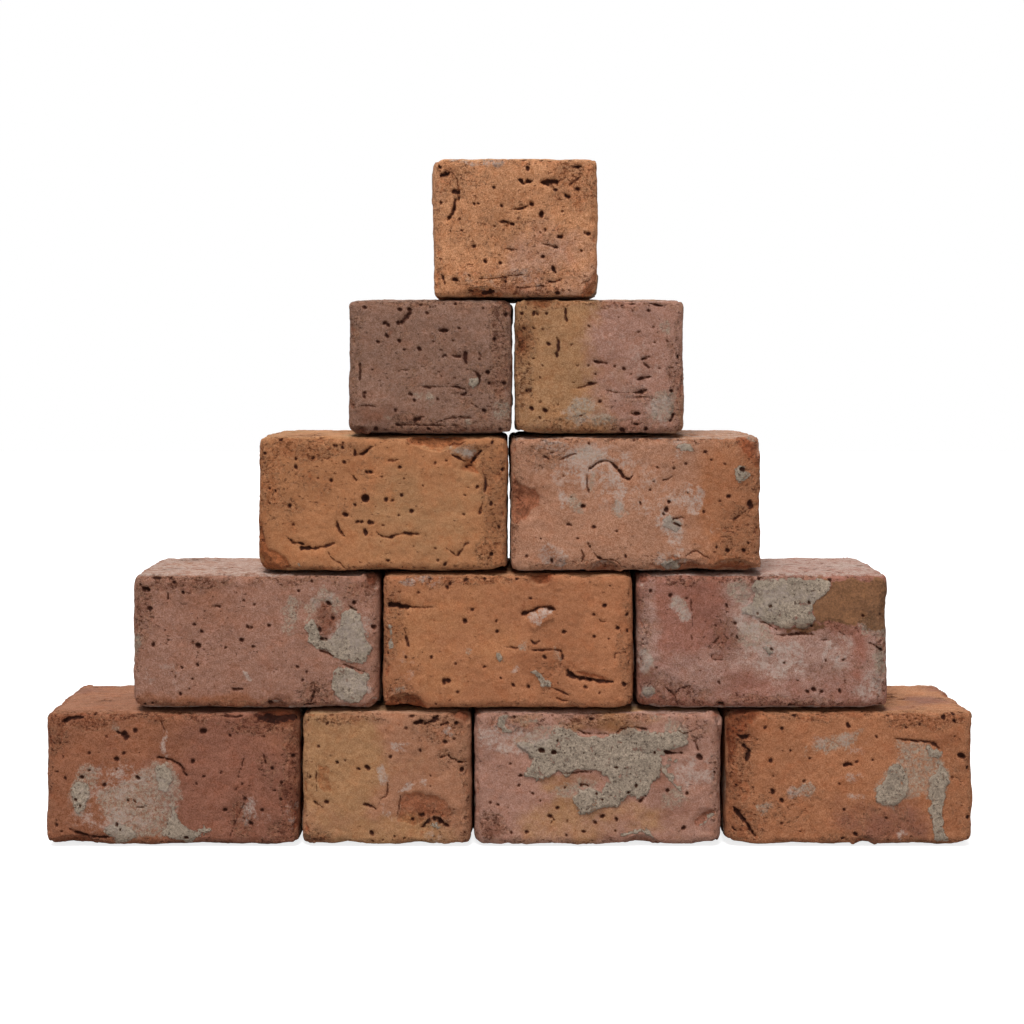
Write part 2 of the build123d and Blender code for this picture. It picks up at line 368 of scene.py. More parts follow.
            (1.8, 1.0, [(81, 17.5), (85, 17), (89, 17.3)]),
            (2.2, 1.6, [(143, 6), (146, 14), (147, 21)]),
            (2.4, 1.6, [(139, 3), (142, 3.5), (145, 4.5)]),
            (1.8, 1.2, [(28, 95), (29, 92), (28, 88)]),
            (1.4, 0.8, [(150, 48), (156, 46.5), (162, 43)]),
            (1.2, 0.8, [(170, 37), (180, 33), (187, 31)]),
        ],
        crusts=[
            (0.8, [(138, 68), (140, 60), (141, 54), (148, 50), (158, 47), (163, 42), (170, 40),
                   (178, 40), (188, 38), (191, 46), (192, 52), (189, 60), (184, 68), (183, 76),
                   (178, 81), (171, 82), (168, 74), (166, 66), (160, 57), (153, 60),
                   (149, 66), (146, 72), (141, 72)]),
            (0.8, [(160, 33), (170, 36), (180, 33), (190, 29), (189, 16), (184, 8), (176, 6),
                   (168, 7), (162, 14), (160, 24)]),
        ],
        smears=[
            [(138, 70), (140, 84), (148, 96), (158, 99), (166, 92), (170, 80), (162, 80),
             (158, 90), (150, 88), (146, 76)],
            [(122, 60), (118, 72), (122, 90), (130, 96), (134, 84), (132, 66)],
            [(-2, 44), (-2, 62), (8, 62), (8, 50), (4, 44)],
        ],
        scars=[(0.9, [(115, 9), (120, 8.5), (126, 2), (124, -1), (112, -1)]),
               (0.5, [(150, 87), (158, 91), (164, 82), (165, 68), (159, 58), (152, 62),
                      (149, 72)])],
        lifts=[(60, 30, 0.8), (160, 24, 1.0), (196, 10, 2.0)],
        tints=[("crumbly", 5, 80, 11, 40, 0.9), ("crumbly", 40, 102, 44, 7, 1.0),
               ("crumbly", 130, 104, 40, 5, 0.8), ("crumbly", 184, 98, 18, 10, 0.8),
               ("bloom", 176, 60, 18, 22, 0.55), ("bloom", 176, 20, 16, 14, 0.5),
               ("bloom", 150, 92, 16, 10, 0.4), ("scorch_and_shade", 194, 106, 12, 7, 0.9),
               ("crumbly", 150, 12, 18, 15, 0.9), ("crumbly", 70, 3, 80, 6, 0.8),
               ("crumbly", 160, 74, 18, 22, 0.5), ("crumbly", 60, 60, 70, 40, 0.3),
               ("second", 50, 6, 70, 8, 0.8), ("second", 60, 84, 34, 18, 0.45),
               ("bloom", 90, 27.5, 2, 2, 1.0), ("bloom", 192, 16, 4, 4, 0.8),
               ("bloom", 22, 30, 26, 24, 0.2), ("scorch_and_shade", 120, 5, 8, 5, 0.7),
               ("scorch_and_shade", 156, 74, 7, 14, 0.4)],
    ),
    "course_2_middle_stretcher": Brick(
        "orange", "tan_orange", 22, 0.3, 0.55,
        pits=[
            (66.5, 71.5, 2.0), (66, 73, 1.4), (49.5, 23.5, 2.0), (52.5, 24, 2.0), (72, 81, 1.4),
            (92, 63.5, 1.5), (52, 99, 1.6), (29, 94.5, 1.1), (19, 43, 1.2), (39.5, 43, 1.1),
            (59, 37.5, 1.2), (82, 35, 1.4), (105, 20.5, 1.7), (60.5, 15, 1.2), (43, 5, 0.9),
            (130.5, 43, 1.6), (146, 63, 1.6), (119, 90, 1.3), (178.5, 84, 2.0), (170, 77.5, 1.4),
            (170, 59, 1.4), (163, 19, 1.5), (194, 21, 1.9), (189, 66, 1.7), (197, 77, 1.5),
            (197, 64, 1.5), (183, 100, 0.9), (95, 26, 1.2), (91.5, 72, 1.0), (13, 77, 0.8),
            (20, 77, 0.8), (182, 57.5, 1.0), (174, 14, 1.0), (3, 46, 1.4), (117, 19, 1.5),
            (67, 105, 1.7), (38, 106, 1.3), (82, 106, 1.3), (108, 106, 1.3), (54, 102, 1.5),
        ],
        cuts=[
            (4.6, 3.4, [(3, 84.5), (8, 84.5), (13, 84), (20, 83)]),
            (1.1, 0.9, [(20, 83), (33, 82.5), (42, 83.5)]),
            (1.8, 1.4, [(16, 69), (18.5, 62), (19.5, 57), (21, 51.5)]),
            (2.8, 2.6, [(113, 78), (119, 79), (126, 83), (132, 83), (140, 80.5)]),
            (1.7, 1.2, [(118, 48.5), (130, 48.5), (140, 49), (145, 46), (144, 41)]),
            (1.1, 0.8, [(97, 51.5), (103, 51), (109, 50)]),
            (4.0, 3.0, [(149, 31.5), (153, 28), (158, 26), (168, 24.5)]),
            (2.2, 1.6, [(165, 25), (175, 24), (185, 23)]),
            (1.3, 1.0, [(134, 19), (142, 16), (150, 12)]),
            (1.3, 1.0, [(139, 10), (144, 8.5), (149, 8)]),
            (1.6, 1.0, [(119, 56), (123, 53), (127, 57)]),
            (1.7, 1.2, [(174, 73), (177, 71), (179, 72)]),
            (1.3, 0.8, [(186, 42), (187, 46), (192, 47), (196, 46)]),
        ],
        crusts=[
            (0.7, [(90, 44), (92, 48), (96, 48), (97, 44), (95, 39), (92, 40)]),
            (0.9, [(118, 30), (121, 34), (126, 32), (130, 26), (135, 24), (136, 20), (132, 17),
                   (127, 19), (125, 25), (122, 29)]),
            (0.5, [(3, 71), (8, 64), (9, 57), (7, 49), (5, 53), (7, 58), (6, 64)]),
        ],
        smears=[
            [(106, 50), (108, 55), (115, 56), (117, 50), (112, 48)],
            [(138, 49), (142, 47), (146, 42), (143, 40), (139, 44)],
            [(4, 14), (8, 18), (16, 20), (20, 18), (12, 14)],
            [(64, 48), (70, 53), (72, 49)],
        ],
        scars=[(1.0, [(152, 31), (160, 33), (172, 29), (186, 24), (168, 25), (156, 28)]),
               (-1.4, [(117, 70), (119, 75), (126, 81), (131, 82), (138, 79), (138, 75),
                       (131, 70), (124, 64), (119, 64)])],
        lifts=[(16, 18, 2.4), (196, 10, 1.6)],
        tints=[("crumbly", 6, 66, 12, 40, 0.8), ("crumbly", 56, 104, 60, 6, 0.9),
               ("crumbly", 14, 10, 18, 14, 0.8), ("crumbly", 195, 60, 8, 50, 0.6),
               ("crumbly", 138, 30, 20, 14, 0.5), ("crumbly", 120, 3, 90, 4, 0.6),
               ("second", 60, 60, 60, 60, 0.5), ("bloom", 26, 104, 22, 4, 0.5),
               ("scorch_and_shade", 126, 104, 9, 6, 0.5), ("scorch_and_shade", 20, 6, 18, 8, 0.6),
               ("bloom", 20, 34, 10, 12, 0.25), ("scorch_and_shade", 132, 36, 22, 12, 0.35),
               ("bloom", 106, 34, 6, 4, 0.5), ("bloom", 132, 79, 7, 4, 1.2),
               ("bloom", 124, 74, 5, 4, 1.2)],
    ),
    "course_2_right_stretcher": Brick(
        "dusty_red", "pale_rose", 23, 0.3, 0.8, 0.7,
        pits=[
            (72, 84, 1.5), (79, 70, 1.5), (80.5, 59, 1.4), (107, 84, 1.4), (138, 87, 1.4),
            (97, 78, 1.1), (40, 90, 1.1), (27, 92.5, 1.9), (11, 96, 1.6), (63, 68, 1.0),
            (67, 5, 1.8), (69, 5, 1.5), (123, 4, 1.6), (126, 3, 1.4), (163, 15.5, 1.6),
            (108, 49, 1.3), (66, 22, 1.2), (118, 38, 1.0), (166, 41, 1.2), (142, 17, 1.8),
            (137, 15, 1.6), (148, 15, 1.4), (141, 2.5, 1.3), (182, 76, 1.3), (196, 2.5, 2.0),
            (196, 77, 1.2), (101, 3.5, 1.0), (129, 24, 0.9), (167, 24, 1.1), (16, 34, 1.2),
            (4, 57, 1.0), (152, 40, 1.1), (155, 105, 1.6), (98, 106, 1.4), (140, 68, 1.2),
        ],
        cuts=[
            (2.2, 1.6, [(187, 54), (190, 53), (194, 50), (198, 48)]),
            # This cut is a dark line painted as shadow under the crust above it
            (2.4, 1.4, [(112, 61), (120, 60), (130, 62), (142, 61)]),
            (1.1, 0.8, [(31, 13), (33, 16), (36, 18), (41, 19)]),
            (1.0, 0.8, [(22, 19), (27, 15), (31, 11), (33, 2)]),
            (1.0, 0.6, [(43, 90), (44.5, 75), (44, 56)]),
            (1.2, 0.8, [(162, 66), (164, 62), (167, 60), (173, 61)]),
            (1.1, 0.8, [(57, 51), (61, 54), (65, 57), (66, 60)]),
            (1.2, 0.8, [(153, 57), (150, 56), (147, 57)]),
            (1.3, 0.8, [(60, 46), (60, 40), (69, 41)]),
            (1.4, 1.0, [(98, 72), (106, 69), (113, 64)]),
        ],
        crusts=[
            (1.0, [(84, 80), (90, 84), (94, 92), (90, 99), (96, 104), (115, 106), (140, 106),
                   (157, 104), (157, 97), (152, 91), (143, 87), (141, 78), (145, 72),
                   (138, 67), (128, 65), (118, 66), (108, 69), (98, 73), (90, 76)]),
            (0.6, [(101, 50), (104, 54), (108, 50), (107, 45), (103, 46)]),
            (0.8, [(3, 17), (8, 19), (15, 18), (16, 13), (8, 9), (4, 12)]),
        ],
        smears=[
            [(70, 97), (76, 104), (92, 106), (92, 92), (84, 84), (76, 90)],
            [(28, 90), (35, 92), (41, 89), (42, 80), (42, 70), (36, 72), (33, 80), (27, 84)],
            [(80, 62), (84, 74), (98, 72), (108, 64), (106, 52), (92, 48), (82, 52)],
            [(174, 70), (180, 76), (200, 72), (204, 56), (190, 58), (180, 62)],
            [(188, 40), (194, 52), (202, 48), (202, 30), (192, 28)],
            [(2, 30), (4, 48), (10, 52), (14, 32), (8, 28)],
        ],
        scars=[(0.7, [(58, 46), (69, 47), (69, 40), (59, 39)])],
        lifts=[(8, 12, 2.0), (192, 12, 1.2)],
        tints=[("second", 122, 44, 56, 26, 1.0), ("second", 40, 22, 46, 16, 0.6),
               ("second", 92, 76, 24, 22, 0.9), ("second", 108, 96, 44, 14, 0.8),
               ("second", 192, 40, 14, 44, 0.8), ("second", 150, 18, 60, 16, 0.6),
               ("second", 10, 60, 12, 46, 0.7), ("second", 50, 40, 34, 12, 0.6),
               ("scorch_and_shade", 56, 88, 20, 22, 0.4), ("scorch_and_shade", 74, 56, 10, 22, 0.45),
               ("scorch_and_shade", 34, 14, 26, 10, 0.5), ("scorch_and_shade", 76, 20, 24, 6, 0.5),
               ("scorch_and_shade", 150, 32, 18, 6, 0.45), ("scorch_and_shade", 160, 60, 26, 5, 0.45),
               ("bloom", 112, 42, 34, 16, 0.62), ("bloom", 92, 72, 14, 18, 0.62),
               ("bloom", 188, 20, 14, 14, 0.55), ("bloom", 162, 48, 10, 18, 0.5),
               ("bloom", 36, 82, 9, 12, 0.7), ("bloom", 8, 40, 6, 14, 0.6),
               ("bloom", 8, 15, 7, 6, 1.0), ("bloom", 120, 90, 26, 14, 0.6),
               ("crumbly", 28, 12, 34, 14, 0.9), ("crumbly", 110, 6, 100, 7, 0.8),
               ("crumbly", 197, 50, 8, 50, 0.8), ("crumbly", 60, 106, 90, 5, 0.9),
               ("crumbly", 4, 60, 8, 50, 0.7), ("crumbly", 148, 68, 26, 6, 1.0),
               ("crumbly", 190, 70, 14, 8, 1.0), ("crumbly", 70, 60, 16, 18, 0.6),
               ("crumbly", 166, 30, 30, 22, 0.4), ("soil", 163, 88, 40, 20, 1.0),
               ("soil", 134, 67, 24, 7, 0.55),
               ("soil", 192, 85, 20, 22, 1.0), ("scorch_and_shade", 10, 26, 8, 7, 0.9),
               ("scorch_and_shade", 132, 66, 18, 4, 0.8)],
    ),
    "course_3_left_stretcher": Brick(
        "tan_orange", "ochre", 31, 0.3, 0.45,
        pits=[
            (86, 60, 3.6), (69, 47, 1.9), (71, 46.5, 1.6), (89.5, 40.5, 1.9), (92, 40.3, 1.4),
            (86, 32.5, 2.1), (123, 49.5, 1.9), (115, 62.5, 1.7), (102.5, 59, 1.7),
            (107.5, 58, 1.2), (77.5, 54.5, 1.3), (58.5, 74.5, 1.8), (30, 85, 1.7),
            (30, 91.5, 1.4), (87, 81, 1.5), (90, 81, 1.7), (114, 85, 1.6), (142, 88, 1.1),
            (151, 90, 1.1), (187, 56, 1.6), (176, 69, 1.5), (117, 76, 1.1), (113, 46, 1.2),
            (104, 10, 1.4), (80, 41, 1.6), (83, 41, 1.4), (44, 92.5, 1.2), (69.5, 89, 1.6),
            (28, 39, 1.2), (14, 66, 1.1), (9, 56, 1.1), (9, 68, 1.2), (25, 54, 1.8),
            (48, 76, 1.0), (68, 101, 1.5), (61, 102.5, 1.5), (63, 102.5, 1.2), (132, 70, 0.9),
            (150, 7, 1.6), (144, 10, 1.2), (116, 4, 1.1), (142, 19.5, 0.9), (165, 47, 1.0),
            (166, 62.5, 1.0), (100, 38, 1.0), (145, 105, 1.1), (197, 83, 1.9), (193, 37, 1.5),
            (5, 96, 1.5), (18, 107, 1.4), (187, 15, 1.7), (185, 12, 1.2), (99, 77, 0.9),
            (68, 104, 1.2), (86, 35, 1.1), (188, 105, 1.3),
        ],
        cuts=[
            (3.0, 2.6, [(81, 95), (86, 97), (90, 101), (95, 103)]),
            (2.6, 1.8, [(77, 99), (78, 94)]),
            (2.2, 1.6, [(63, 42), (64, 37), (66, 33), (69, 29.5)]),
            (1.7, 1.4, [(95, 33), (98, 30), (104, 28), (110, 30), (116, 32), (124, 31.5),
                        (131, 31)]),
            (2.2, 1.8, [(24, 28), (29, 24), (36, 23)]),
            (3.0, 2.2, [(34, 20), (41, 19), (48, 19.5)]),
            (1.5, 1.2, [(46, 20), (54, 21), (61, 24)]),
            (1.2, 0.8, [(51, 94), (54, 91), (59, 93)]),
            (2.0, 1.2, [(104, 90), (108, 90.5), (112, 91)]),
            (1.9, 1.4, [(156, 95), (161, 92), (168, 89)]),
            (2.8, 2.2, [(169, 88), (174, 92), (180, 99)]),
            (2.8, 2.0, [(166, 85.5), (171, 87)]),
            (1.5, 1.0, [(179, 83), (183, 76), (182, 65)]),
            (2.0, 1.4, [(180, 60), (179.5, 53), (177, 46)]),
            (1.2, 0.9, [(151, 20), (155, 17), (159, 13)]),
            (1.6, 1.2, [(159, 13), (163, 17), (165, 22), (169, 24)]),
            (1.3, 0.9, [(76, 78), (79, 74)]),
            (1.1, 0.8, [(152, 102), (160, 104), (166, 106)]),
            (1.0, 0.7, [(56, 17), (58, 12), (64, 9), (72, 2)]),
        ],
        crusts=[(0.5, [(31, 6), (34, 7), (36, 4), (33, 3)])],
        smears=[[(155, 97), (163, 104), (176, 101), (170, 92), (160, 95)]],
        scars=[
            (1.4, [(165, 86), (171, 90), (176, 85), (178, 79), (171, 80)]),
            (1.4, [(-2, 40), (2, 38), (6, 27), (10, 20), (19, 17), (24, 10), (29, -2), (-2, -2)]),
            (0.8, [(116, 112), (122, 105), (130, 102), (142, 99), (154, 100), (162, 103),
                   (170, 112)]),
        ],
        lifts=[(196, 12, 2.2), (100, 24, 0.8)],
        tints=[("crumbly", 35, 100, 44, 10, 0.9), ("crumbly", 6, 78, 14, 36, 0.9),
               ("crumbly", 22, 62, 22, 34, 0.6), ("crumbly", 190, 14, 16, 16, 0.9),
               ("crumbly", 190, 60, 12, 60, 0.7), ("crumbly", 70, 75, 60, 34, 0.4),
               ("crumbly", 100, 3, 110, 4, 0.7), ("crumbly", 175, 100, 24, 10, 0.8),
               ("second", 130, 40, 60, 60, 0.5), ("scorch_and_shade", 4, 36, 6, 30, 0.4),
               ("scorch_and_shade", 190, 60, 8, 40, 0.3), ("scorch_and_shade", 80, 86, 12, 5, 0.3),
               ("bloom", 165, 98, 12, 6, 0.5), ("scorch_and_shade", 100, 2, 90, 4, 0.3)],
    ),
    "course_3_right_stretcher": Brick(
        "blush", "orange", 32, 0.3, 0.7, 0.45,
        pits=[
            (156, 97, 1.6), (46, 39, 1.4), (48, 38.5, 1.3), (67, 37, 1.7), (85, 33.5, 1.3),
            (112, 66.5, 1.2), (104, 56, 1.2), (127, 57, 1.5), (155, 49, 1.5), (13, 13.5, 1.5),
            (92, 13, 1.3), (186, 83.5, 2.3), (172, 87.5, 1.0), (118, 85, 1.1), (58, 53.5, 1.9),
            (125, 51, 2.0), (115, 73.5, 1.0), (42, 78, 0.9), (49, 61, 0.8), (175, 61.5, 1.7),
            (168, 58, 1.0), (174, 18, 1.9), (187, 18, 1.6), (165, 20.5, 1.2), (33, 10, 1.7),
            (99, 107, 1.3), (63, 104, 1.1), (131, 84, 1.1), (142, 64, 1.0), (182, 36.5, 0.9),
            (192, 56, 2.6), (193, 53, 2.0), (24, 27.5, 1.1), (69, 3.5, 1.1), (123, 47, 1.4),
            (141, 88, 1.2), (161, 91, 1.1), (54, 27.5, 0.9), (191, 24, 1.1),
        ],
        cuts=[
            (1.0, 0.8, [(63, 64), (61, 72), (61.5, 80), (64, 85)]),
            (1.9, 1.8, [(64, 84), (67, 87), (73, 89.5), (79, 90.5), (84, 86), (88, 81),
                        (92, 76), (95, 75), (98, 78)]),
            (2.4, 1.8, [(62, 24), (66, 18), (68, 14), (74, 10)]),
            (1.4, 1.0, [(73, 9), (78, 11), (84, 10), (88, 7)]),
            (1.2, 0.8, [(40, 91), (47, 94), (53, 96)]),
            (1.6, 1.0, [(27, 94), (31, 91)]),
            (1.1, 0.8, [(4, 61), (10, 56)]),
            (1.7, 1.2, [(177, 42), (185, 46), (190, 51)]),
            (1.4, 0.9, [(130, 43), (134, 44), (140, 44)]),
            (1.4, 0.9, [(130, 40), (137, 38)]),
            (1.3, 0.8, [(122, 74), (127, 75), (131, 78)]),
            (1.3, 0.8, [(31, 96), (36, 97)]),
            (1.0, 0.7, [(140, 13), (148, 19), (155, 14), (160, 11)]),
            (1.2, 0.8, [(57, 18), (59, 13), (57, 9)]),
        ],
        crusts=[
            (0.7, [(179, 80), (181, 84), (186, 86), (192, 82), (192, 76), (186, 73), (181, 75)]),
            (0.9, [(120, 6), (124, 10), (132, 11), (137, 7), (134, 3), (126, 3)]),
            (0.4, [(132, 101), (136, 105), (144, 104), (147, 100), (143, 101), (138, 98)]),
            (0.4, [(122, 40), (124, 47), (128, 49), (130, 44), (138, 40), (136, 33), (128, 34)]),
        ],
        smears=[
            [(46, 93), (54, 100), (62, 104), (72, 98), (76, 93), (66, 90), (54, 91)],
            [(43, 58), (47, 66), (52, 62), (58, 52), (60, 46), (50, 48), (44, 52)],
            [(80, 52), (84, 60), (90, 58), (92, 48), (86, 44)],
            [(62, 66), (63, 82), (70, 86), (70, 74), (66, 66)],
        ],
        scars=[
            (1.3, [(-2, 77), (6, 73), (13, 70), (21, 67), (25, 60), (21, 52), (14, 46), (6, 38),
                   (-2, 41)]),
            (1.0, [(176, 112), (182, 104), (188, 96), (192, 90), (197, 84), (204, 86),
                   (204, 112)]),
            (0.9, [(108, -2), (118, 5), (126, 12), (132, 15), (138, 9), (146, 8), (160, 4),
                   (180, 6), (204, 3), (204, -2)]),
        ],
        lifts=[(150, 20, 1.4), (200, 14, 2.0)],
        tints=[("bloom", 62, 92, 22, 8, 0.95), ("bloom", 62, 80, 4, 12, 0.9),
               ("bloom", 82, 70, 12, 18, 0.7), ("bloom", 46, 58, 5, 8, 0.8),
               ("bloom", 86, 54, 5, 7, 0.9), ("bloom", 138, 62, 18, 11, 0.5),
               ("bloom", 124, 42, 7, 12, 0.9), ("bloom", 134, 30, 9, 18, 0.65),
               ("bloom", 147, 54, 7, 8, 0.7), ("bloom", 160, 40, 5, 6, 0.5),
               ("bloom", 34, 14, 12, 10, 0.7), ("bloom", 124, 8, 9, 5, 0.9),
               ("bloom", 136, 100, 10, 6, 0.5), ("bloom", 30, 98, 20, 8, 0.4),
               ("crumbly", 24, 96, 30, 14, 0.7), ("scorch_and_shade", 193, 100, 9, 9, 0.6),
               ("crumbly", 184, 30, 22, 34, 0.7), ("crumbly", 90, 6, 100, 8, 0.7),
               ("crumbly", 100, 107, 110, 4, 0.7), ("crumbly", 4, 60, 7, 50, 0.6),
               ("crumbly", 190, 76, 12, 24, 0.6),
               ("second", 178, 55, 34, 70, 0.95), ("bloom", 64, 84, 42, 22, 0.45),
               ("bloom", 100, 66, 46, 24, 0.35), ("scorch_and_shade", 32, 14, 8, 8, 0.6),
               ("bloom", 38, 10, 5, 7, 0.8), ("scorch_and_shade", 170, 6, 36, 5, 0.5),
               ("scorch_and_shade", 14, 58, 12, 18, 0.35), ("bloom", 130, 36, 12, 14, 0.4),
               ("scorch_and_shade", 74, 4, 26, 4, 0.5)],
    ),
    "course_4_left_header": Brick(
        "plum", "red_brown", 41, -0.5, 0.75,
        pits=[
            (41, 101, 1.8), (29, 90, 1.8), (32, 88.5, 1.6), (40, 90.5, 2.0), (43, 91, 1.6),
            (31, 80, 1.7), (41, 76, 1.6), (57, 69.5, 1.8), (89, 86, 1.4), (112, 50.5, 2.0),
            (117, 77, 1.8), (109, 20, 1.6), (75, 47, 0.9), (50, 33, 1.6), (53, 28, 1.6),
            (13, 34, 1.5), (13, 31, 1.4), (45, 69, 1.3), (54, 12, 1.9), (57, 13, 1.6),
            (22, 5, 2.0), (64, 5, 1.5), (13, 103, 1.6), (49, 101.5, 1.8), (63, 98, 1.2),
            (113, 42, 1.4), (105, 61, 1.2), (19, 52.5, 1.1), (127, 97, 1.8), (38, 20, 1.4),
            (125, 42, 1.8), (68, 75.5, 1.0), (58, 105.5, 1.4), (72, 29, 1.4), (84, 76, 0.9),
            (122, 5, 1.3), (24, 75, 1.4), (108, 102, 1.2), (86, 106, 1.5), (121, 62, 0.9),
        ],
        cuts=[
            (4.2, 2.2, [(44, 91), (47, 95), (51, 101)]),
            (3.0, 2.0, [(73, 85), (76, 84.5), (80, 84.5)]),
            (1.8, 1.2, [(82, 64.5), (86, 63.5), (90, 63)]),
            (1.6, 1.1, [(76, 63), (78, 64.5), (80, 63)]),
            (2.4, 1.5, [(94, 67), (94, 63), (95, 58)]),
            (2.2, 1.6, [(104, 68), (105, 66), (107, 63)]),
            (2.0, 1.6, [(95, 53), (100, 52), (104, 50), (106, 45), (104, 40)]),
            (1.5, 1.1, [(82, 39.5), (88, 39), (95, 36)]),
            (2.2, 1.5, [(91, 33), (95, 34)]),
            (1.6, 1.0, [(9, 57), (9.5, 51), (9, 44)]),
            (1.3, 0.9, [(40, 52), (44, 52), (49, 53)]),
            (1.1, 0.8, [(57, 41), (64, 38), (72, 39), (82, 39.5)]),
            (1.2, 0.8, [(99, 26), (103, 23), (108, 20)]),
            (1.8, 1.2, [(50, 12), (56, 14.5), (62, 15)]),
            (1.5, 1.0, [(38, 9), (52, 8.5), (66, 8), (78, 7.5), (90, 8)]),
            (1.2, 0.8, [(68, 9), (78, 13), (88, 15), (99, 14)]),
            (1.2, 0.8, [(22, 23), (18, 24), (10, 24)]),
        ],
        crusts=[(0.9, [(96, 41), (98, 46), (102, 48), (105, 45), (104, 40), (100, 37)])],
        smears=[
            [(51, 31), (54, 34), (59, 33), (59, 28), (53, 27)],
            [(116, 16), (118, 26), (122, 30), (127, 26), (128, 16), (122, 13)],
            [(90, 11), (93, 15), (100, 14), (99, 9), (94, 8)],
            [(27, 15), (31, 17), (34, 13), (30, 12)],
            [(60, 28), (64, 36), (70, 34), (68, 26)],
        ],
        scars=[(0.9, [(112, 112), (122, 106), (127, 100), (134, 92), (134, 112)])],
        tints=[("crumbly", 64, 106, 70, 6, 0.8), ("crumbly", 122, 60, 10, 60, 0.9),
               ("crumbly", 5, 60, 8, 50, 0.7), ("crumbly", 64, 6, 70, 10, 0.8),
               ("crumbly", 65, 60, 60, 50, 0.4), ("crumbly", 104, 34, 26, 28, 0.6),
               ("second", 18, 15, 12, 7, 0.5), ("scorch_and_shade", 24, 16, 22, 7, 0.6),
               ("scorch_and_shade", 64, 5, 70, 5, 0.4), ("second", 122, 36, 5, 5, 0.4),
               ("bloom", 54, 40, 40, 20, 0.12), ("scorch_and_shade", 8, 3, 8, 4, 0.9)],
    ),
    "course_4_right_header": Brick(
        "ochre", "rose", 42, -0.5, 0.7,
        pits=[
            (26.5, 73.5, 1.6), (59, 88, 1.2), (14, 61.5, 1.2), (11, 57, 1.0), (5, 98, 1.7),
            (15, 98, 1.6), (18, 97.5, 1.2), (25, 98, 1.2), (7, 86, 1.3), (15, 86, 1.1),
            (34, 25, 0.9), (47, 42.5, 0.9), (45, 73, 0.9), (64, 49, 0.9), (59, 56, 1.1),
            (87, 53.5, 1.5), (80, 55.5, 1.1), (125, 36, 1.8), (68, 27, 1.6), (9, 36, 1.6),
            (12, 36, 1.2), (13, 21.5, 1.9), (24, 20, 2.0), (94, 100, 1.0), (107, 100, 1.5),
            (112, 75, 1.0), (122, 76, 1.0), (86, 4, 2.3), (105, 5, 1.8), (116, 54, 0.9),
            (131, 63, 1.7), (111, 87, 1.0), (20, 46.5, 1.1), (22, 56.5, 0.9), (50, 56, 0.9),
            (93, 49, 0.9), (22, 85.5, 1.1), (99, 83, 1.1), (20, 26.5, 1.1), (20, 14, 1.2),
        ],
        cuts=[
            (2.0, 1.4, [(40.5, 102), (40.5, 97), (41, 91)]),
            (2.0, 1.4, [(32.5, 80), (35, 76), (34.5, 69), (33, 63)]),
            (2.0, 1.3, [(63, 60), (66, 59.5), (69, 58.5), (74, 58)]),
            (2.8, 1.8, [(60, 42), (63, 42), (66, 42.5)]),
            (2.6, 1.8, [(101, 61), (104, 62), (108, 63.5)]),
            (2.4, 1.8, [(98, 45), (103, 46), (110, 47.5)]),
            (3.0, 2.0, [(100, 35), (103, 34.5), (106, 38)]),
            (1.2, 0.9, [(73, 36), (80, 35), (90, 33.5), (99, 34.5)]),
            (3.2, 2.0, [(93, 17), (96, 17.5), (99, 17.5)]),
            (2.4, 1.5, [(95, 9), (98, 9), (100, 9.5)]),
            (2.6, 1.8, [(109, 107), (113, 105), (119, 104)]),
            (1.7, 1.2, [(92, 106), (98, 106)]),
            (1.6, 1.1, [(84, 103.5), (88, 105)]),
            (2.4, 1.6, [(124, 11), (126, 14), (128, 18)]),
            (1.2, 0.8, [(46, 38), (54, 39), (61, 41)]),
            (1.1, 0.8, [(50, 14), (53, 16), (57, 18)]),
            (1.0, 0.7, [(110, 30), (100, 31), (88, 30)]),
            (1.2, 0.8, [(102, 59), (106, 56), (108, 54)]),
        ],
        smears=[
            [(42, 12), (43, 26), (50, 30), (60, 30), (64, 22), (56, 14), (50, 8)],
            [(108, 10), (108, 24), (112, 36), (122, 38), (130, 30), (128, 18), (120, 8)],
            [(60, 10), (70, 18), (86, 16), (84, 10), (70, 8)],
            [(114, 84), (118, 92), (124, 90), (122, 80)],
        ],
        tints=[("crumbly", 6, 60, 10, 55, 0.8), ("crumbly", 66, 7, 70, 10, 0.8),
               ("crumbly", 129, 44, 9, 50, 0.8), ("crumbly", 60, 106, 80, 5, 0.8),
               ("crumbly", 96, 24, 34, 22, 0.5), ("bloom", 92, 60, 40, 50, 0.22),
               ("second", 100, 62, 46, 80, 1.0), ("scorch_and_shade", 3, 74, 8, 16, 0.9),
               ("scorch_and_shade", 70, 4, 60, 6, 0.45), ("bloom", 54, 20, 16, 12, 0.4),
               ("bloom", 118, 24, 14, 16, 0.45), ("scorch_and_shade", 24, 106, 18, 4, 0.4),
               ("bloom", 80, 100, 30, 20, 0.15)],
    ),
    "course_5_top_header": Brick(
        "sand", "pink_tan", 51, 0.3, 0.9,
        pits=[
            (79, 76, 2.0), (87, 68.5, 2.2), (87, 67, 1.9), (107, 82.5, 1.7), (109, 81.5, 1.5),
            (98.5, 87.5, 1.7), (101, 49.5, 1.8), (103, 50, 1.8), (88, 33.5, 1.7), (33, 42, 1.6),
            (42, 30, 1.6), (54, 28.5, 1.4), (17, 15.5, 1.9), (19, 15, 1.5), (100, 4, 2.2),
            (76, 104.5, 1.9), (33, 76, 1.3), (36, 76.3, 1.1), (55, 74.5, 1.4), (104, 70, 1.1),
            (49, 58, 1.1), (23, 55, 1.0), (125, 52, 1.9), (119, 38, 1.2), (86, 53, 1.1),
            (116, 88, 1.9), (87, 112, 1.3), (73, 112, 1.4), (63, 39.5, 1.1), (21, 64, 1.3),
            (49, 89, 1.4), (58, 13.5, 1.4), (29, 18.5, 1.0), (117, 105.5, 1.4), (5, 106, 1.6),
